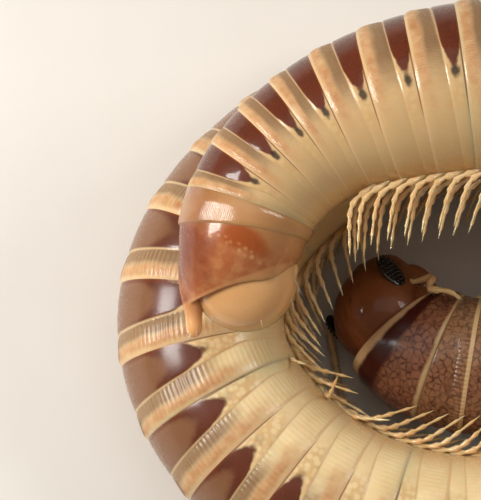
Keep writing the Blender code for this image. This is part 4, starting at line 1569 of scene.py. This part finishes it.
@dataclass
class Telson:
    """The tail end: the last segment with its blunt club, the valves, the scale and the bristles."""

    sides: int = 128
    steps: int = 40
    voxel: float = 0.014
    smoothing: int = 24
    sleeve_striae: int = 190
    sleeve_lap: float = 0.05
    sleeve_reach: float = 0.06
    sleeve_relief: float = 0.004
    sleeve_rise: Rows = ((0.05, 0), (0.2, 1), (0.95, 1), (1, 0))
    hair_stretch: float = 1.4
    hair_thick: float = 0.0036
    hair_droop: float = 0.012
    sleeve_profile: Rows = (
        (0.0, 0.985), (0.06, 1.010), (0.40, 1.016), (0.80, 1.015), (0.93, 1.010), (0.985, 1.001),
        (1.0, 0.985),
    )

    def sleeve(self) -> bpy.types.Object:
        """The rear of the last legless ring, which laps over the front of the tail segment."""
        obj = extruded_tube("last_ring", self.sleeve_striae * 5, self.sleeve_profile)
        straight = points_of(obj)
        turn = np.arctan2(straight[:, 1], straight[:, 0])
        share = np.hypot(straight[:, 0], straight[:, 1])
        rise = table(self.sleeve_rise, straight[:, 2])
        share = share + ribs(turn, self.sleeve_striae) * self.sleeve_relief * rise
        first, second = (np.array([*back, *belly, half]) for back, belly, half in TAIL.sections[:2])
        first[[0, 2]] -= self.sleeve_lap
        second[0] += self.sleeve_reach
        row = first + (second - first) * straight[:, 2:3]
        middle = (row[:, 0:2] + row[:, 2:4]) / 2
        spoke = (row[:, 0:2] - row[:, 2:4]) / 2
        flat = middle + spoke * (np.cos(turn) * share)[:, None]
        local = np.stack([flat[:, 0], flat[:, 1], np.sin(turn) * share * row[:, 4]], 1)
        set_points(obj, TAIL.points(local))
        set_attribute(obj, "shade", np.clip(np.cos(turn) * 1.3 - 0.2, 0, 1))
        recalculate(obj)
        return obj

    def segment(self) -> bpy.types.Object:
        """The last segment, a slanted tube that closes to a rounded rim."""
        rows = np.array([[*back, *belly, half] for back, belly, half in TAIL.sections])
        spots = np.linspace(0, len(rows) - 1, self.steps)
        dense = natural_spline(range(len(rows)), rows, spots)
        stations = [(float(k), 1.0) for k in range(self.steps)]
        stations += [(self.steps + 0.0, 0.985), (self.steps + 1.0, 0.95), (self.steps + 2.0, 0.90)]
        obj = extruded_tube("tail_segment", self.sides, stations)
        straight = points_of(obj)
        step = np.clip(straight[:, 2], 0, self.steps - 1).astype(int)
        beyond = np.clip(straight[:, 2] - (self.steps - 1), 0, 3)
        share = np.hypot(straight[:, 0], straight[:, 1])
        turn = np.arctan2(straight[:, 1], straight[:, 0])
        row = dense[step]
        back, belly, half = row[:, 0:2], row[:, 2:4], row[:, 4]
        middle = (back + belly) / 2
        spoke = (back - belly) / 2
        slope = unit(np.stack([-spoke[:, 1], spoke[:, 0]], 1))
        slope = slope * np.sign(slope[:, 0:1])
        rim = np.interp(beyond, (0, 1, 2, 3), (0, 0.010, 0.004, -0.03))
        late = np.interp(straight[:, 2], (self.steps * 0.55, self.steps - 1), (0, 1)) ** 2
        low = np.exp(-((np.cos(turn) + 0.62) / 0.45) ** 2) * np.abs(np.sin(turn))
        rim = rim + 0.085 * late * low
        flat = middle + spoke * (np.cos(turn) * share)[:, None] + slope * rim[:, None]
        local = np.stack([flat[:, 0], flat[:, 1], np.sin(turn) * share * half], 1)
        set_points(obj, TAIL.points(local))
        recalculate(obj)
        return obj

    def club(self) -> bpy.types.Object:
        """The blunt upturned process over the valves."""
        places = np.array([[*place, 0.0] for place, _ in TAIL.club])
        path = TAIL.points(places)
        knots = COIL.distances(path) / COIL.distances(path)[-1]
        spots = np.linspace(0, 0.97, 22)
        radii = np.interp(spots, knots, [radius for _, radius in TAIL.club])
        stations = [(float(spot), float(radius)) for spot, radius in zip(spots, radii)]
        stations += [(0.985, float(radii[-1]) * 0.7), (1.0, float(radii[-1]) * 0.3)]
        obj = extruded_tube("tail_club", 48, stations)
        set_points(obj, laid_on_path(points_of(obj), path, TAIL.flank))
        recalculate(obj)
        return obj

    def joined_segment(self) -> bpy.types.Object:
        """The segment and its club, melted into one smooth shell."""
        segment = joined([self.segment(), self.club()], "tail_segment")
        modified(segment, "REMESH", mode="VOXEL", voxel_size=self.voxel)
        modified(segment, "SMOOTH", factor=0.5, iterations=self.smoothing)
        points = points_of(segment) - TAIL.centre
        behind, dorsal = points @ TAIL.behind, points @ TAIL.dorsal
        back, belly, _ = TAIL.sections[-1]
        rim = unit(np.array(back) - np.array(belly))
        margin = (behind - back[0]) * rim[1] - (dorsal - back[1]) * rim[0]
        set_attribute(segment, "behind", behind)
        set_attribute(segment, "dorsal", dorsal)
        set_attribute(segment, "margin", margin)
        return segment

    def valve(self, side: int, name: str) -> bpy.types.Object:
        """One of the two bulging valves, flat where it meets the other."""
        obj = sphere(96, 48)
        ball = points_of(obj)
        back, belly, _ = TAIL.sections[-1]
        along = unit(np.array(back) - np.array(belly))
        deep = np.array((along[1], -along[0]))
        deep = deep * np.sign(deep[0])
        size = TAIL.valve_size
        wide = np.abs(ball[:, 2]) * side
        rim = 1 + 0.03 * np.exp(-((np.abs(ball[:, 2]) - 0.04) / 0.05) ** 2)
        flat = np.array(TAIL.valve_centre) + np.outer(ball[:, 0] * size[0] * rim, along)
        flat = flat + np.outer(ball[:, 1] * size[1] * rim, deep)
        height = np.where(wide * ball[:, 2] > 0, wide * size[2], side * 0.008)
        local = np.stack([flat[:, 0], flat[:, 1], height], 1)
        set_points(obj, TAIL.points(local))
        set_attribute(obj, "shade", np.clip(0.5 - ball[:, 1] * 0.5, 0, 1))
        obj.name = name
        recalculate(obj, SEAM)
        return obj

    def scale(self) -> bpy.types.Object:
        """The small scale below the valves."""
        obj = sphere(40, 24)
        ball = points_of(obj)
        local = ball * np.array(TAIL.scale_size) + np.array((*TAIL.scale_place, 0.0))
        set_points(obj, TAIL.points(local))
        shaded(obj, 0.3)
        obj.name = "belly_plate"
        recalculate(obj)
        return obj

    def bristles(self) -> bpy.types.Object:
        """The long hairs on the club's tip, the rim and the valves."""
        spots = (
            ((1.29, 0.13, 0.03), (0.6, 0.10, 0.15), 0.09),
            ((1.30, 0.17, -0.02), (0.8, 0.05, 0.0), 0.09),
            ((1.25, 0.09, 0.05), (0.7, -0.1, 0.3), 0.08),
            ((0.45, -0.60, 0.10), (0.75, -0.75, 0.1), 0.18),
            ((0.62, -0.63, 0.06), (0.8, -0.55, 0.1), 0.13),
            ((0.62, -0.60, -0.10), (0.8, -0.5, -0.2), 0.13),
            ((1.07, -0.02, 0.10), (1.0, 0.05, 0.3), 0.10),
            ((0.95, -0.45, 0.15), (0.8, -0.5, 0.4), 0.10),
        )
        hairs = []
        for place, way, length in spots:
            start = TAIL.points(np.array(place))[0]
            out = np.array(way) @ np.stack([TAIL.behind, TAIL.dorsal, TAIL.flank])
            droop = TAIL.flank * self.hair_droop
            hairs.append(bristle(start, out, length * self.hair_stretch, self.hair_thick, droop))
        piece = joined(hairs, "tail_bristles")
        shaded(piece, 0.2)
        return piece

    def build(self, shell: bpy.types.Material, ring: bpy.types.Material, pale: bpy.types.Material,
              hair: bpy.types.Material) -> None:
        """Models and dresses the tail end.

        Args:
            shell: finish of the segment and club.
            ring: finish of the last legless ring.
            pale: finish of the valves and scale.
            hair: finish of the bristles.
        """
        finished(self.joined_segment(), shell, ["telson"], None)
        finished(self.sleeve(), ring, (), 70)
        finished(self.valve(1, "anal_valve_upper"), pale, ["valve_upper"], 60)
        finished(self.valve(-1, "anal_valve_lower"), pale, ["valve_lower"], 60)
        finished(self.scale(), pale, ["belly_scale"], None)
        finished(self.bristles(), hair, (), 60)


def obstacles() -> list[tuple[Point, float]]:
    """Balls that stand in for the head, antennae and telson while the legs are placed."""
    balls = []
    for ahead, half, top, bottom in HEAD_PLAN.sections:
        centre = HEAD.points(np.array((ahead, 0, (top + bottom) / 2)))[0]
        balls.append((centre, max(half, (top - bottom) / 2)))
    for rows in (HEAD_PLAN.upper_antenna, HEAD_PLAN.lower_antenna):
        path = HEAD.body_points(rows)
        for first, second in zip(path[:-1], path[1:]):
            thick = max(HEAD_PLAN.antenna_radii)
            balls += [(first * (1 - k) + second * k, thick) for k in (0.0, 0.33, 0.67)]
    for back, belly, half in TAIL.sections:
        middle = (np.array((*back, 0.0)) + np.array((*belly, 0.0))) / 2
        balls.append((TAIL.points(middle)[0], half))
    return balls


@dataclass
class Studio:
    """Plain floor, soft lights and the photograph's camera."""

    pixel: float = 0.01
    coil_pixel: tuple[float, float] = (490.0, 316.0)
    middle_pixel: tuple[float, float] = (240.5, 250.0)
    height: float = 0.86
    tilt: float = 10.0
    distance: float = 60.0
    frame_height: float = 5.0
    floor_size: float = 400.0
    sensor: float = 36.0
    light_aim: tuple[float, float, float] = (-1.5, 0.5, 1.5)
    room: tuple[float, float, float, float] = (1.0, 0.94, 0.86, 1)
    room_light: float = 0.18

    def floor(self) -> None:
        """A wide pale sheet with a little tooth."""
        deselect()
        bpy.ops.mesh.primitive_plane_add(size=self.floor_size * MM)
        floor = active()
        floor.name = "floor"
        bench = Bench("pale_floor")
        grain = bench.noise(bench.place(), 0.8, 3.0)
        paint = bench.mix(grain, colour(226, 221, 213), colour(234, 230, 223))
        bench.feed(bench.shader.inputs["Base Color"], paint)
        bench.feed(bench.shader.inputs["Roughness"], 0.7)
        floor.data.materials.append(bench.material)

    def camera(self) -> None:
        """A long lens, ten degrees off straight down, framed as the photograph is."""
        slope = math.radians(self.tilt)
        right = (self.middle_pixel[0] - self.coil_pixel[0]) * self.pixel - PLAN.box_centre[0]
        up = (self.coil_pixel[1] - self.middle_pixel[1]) * self.pixel / math.cos(slope) - PLAN.box_centre[1]
        target = Vector((right, up, self.height)) * MM
        way = Vector((0, -math.sin(slope), math.cos(slope)))
        data = bpy.data.cameras.new("camera")
        data.sensor_width = self.sensor
        data.lens = self.sensor * self.distance / self.frame_height
        data.clip_start = 0.001
        data.clip_end = 2.0
        camera = bpy.data.objects.new("camera", data)
        camera.location = target + way * self.distance * MM
        camera.rotation_euler = way.to_track_quat("Z", "Y").to_euler()
        bpy.context.scene.collection.objects.link(camera)
        bpy.context.scene.camera = camera

    def light(self, name: str, bearing: float, height: float, away: float, size: float, power: float,
              tint: tuple[float, float, float]) -> None:
        """One square soft light.

        Args:
            name: its name.
            bearing: degrees from +X towards +Y.
            height: degrees above the floor.
            away: millimetres from the coil.
            size: millimetres across.
            power: watts.
            tint: its colour.
        """
        data = bpy.data.lights.new(name, "AREA")
        data.shape = "SQUARE"
        data.size = size * MM
        data.energy = power
        data.color = tint
        turn, rise = math.radians(bearing), math.radians(height)
        way = Vector((math.cos(turn) * math.cos(rise), math.sin(turn) * math.cos(rise), math.sin(rise)))
        lamp = bpy.data.objects.new(name, data)
        lamp.location = way * away * MM + Vector(self.light_aim) * MM
        lamp.rotation_euler = way.to_track_quat("Z", "Y").to_euler()
        bpy.context.scene.collection.objects.link(lamp)

    def build(self) -> None:
        """Sets the stage."""
        self.floor()
        self.camera()
        self.light("left_flash", 172, 38, 24, 9, 0.0056, (1.0, 0.97, 0.93))
        self.light("right_flash", 20, 42, 30, 9, 0.0024, (1.0, 0.97, 0.93))
        self.light("top_soft", 95, 70, 60, 60, 0.007, (1.0, 0.99, 0.97))
        world = bpy.data.worlds.new("room")
        world.use_nodes = True
        world.node_tree.nodes["Background"].inputs[0].default_value = self.room
        world.node_tree.nodes["Background"].inputs[1].default_value = self.room_light
        bpy.context.scene.world = world
        bpy.context.scene.view_settings.view_transform = "Standard"


def main() -> None:
    """Builds every piece in order."""
    logging.basicConfig(level=logging.INFO, format="%(name)s %(message)s")
    cuticle = CuticleFinish().build()
    head, collum = HEAD_FINISH.build(), CollumFinish().build()
    telson, last_ring, valve = TailFinish().build(), LAST_RING_FINISH.build(), VALVE_FINISH.build()
    limb, hair, eye = LIMB_FINISH.build(), HAIR_FINISH.build(), EYE_FINISH.build()
    Trunk().build(cuticle)
    Collum().build(collum)
    Head().build(head, valve, limb, eye, hair)
    Telson().build(telson, last_ring, valve, hair)
    Legs().build(limb, obstacles())
    Studio().build()


if __name__ == "__main__":
    main()
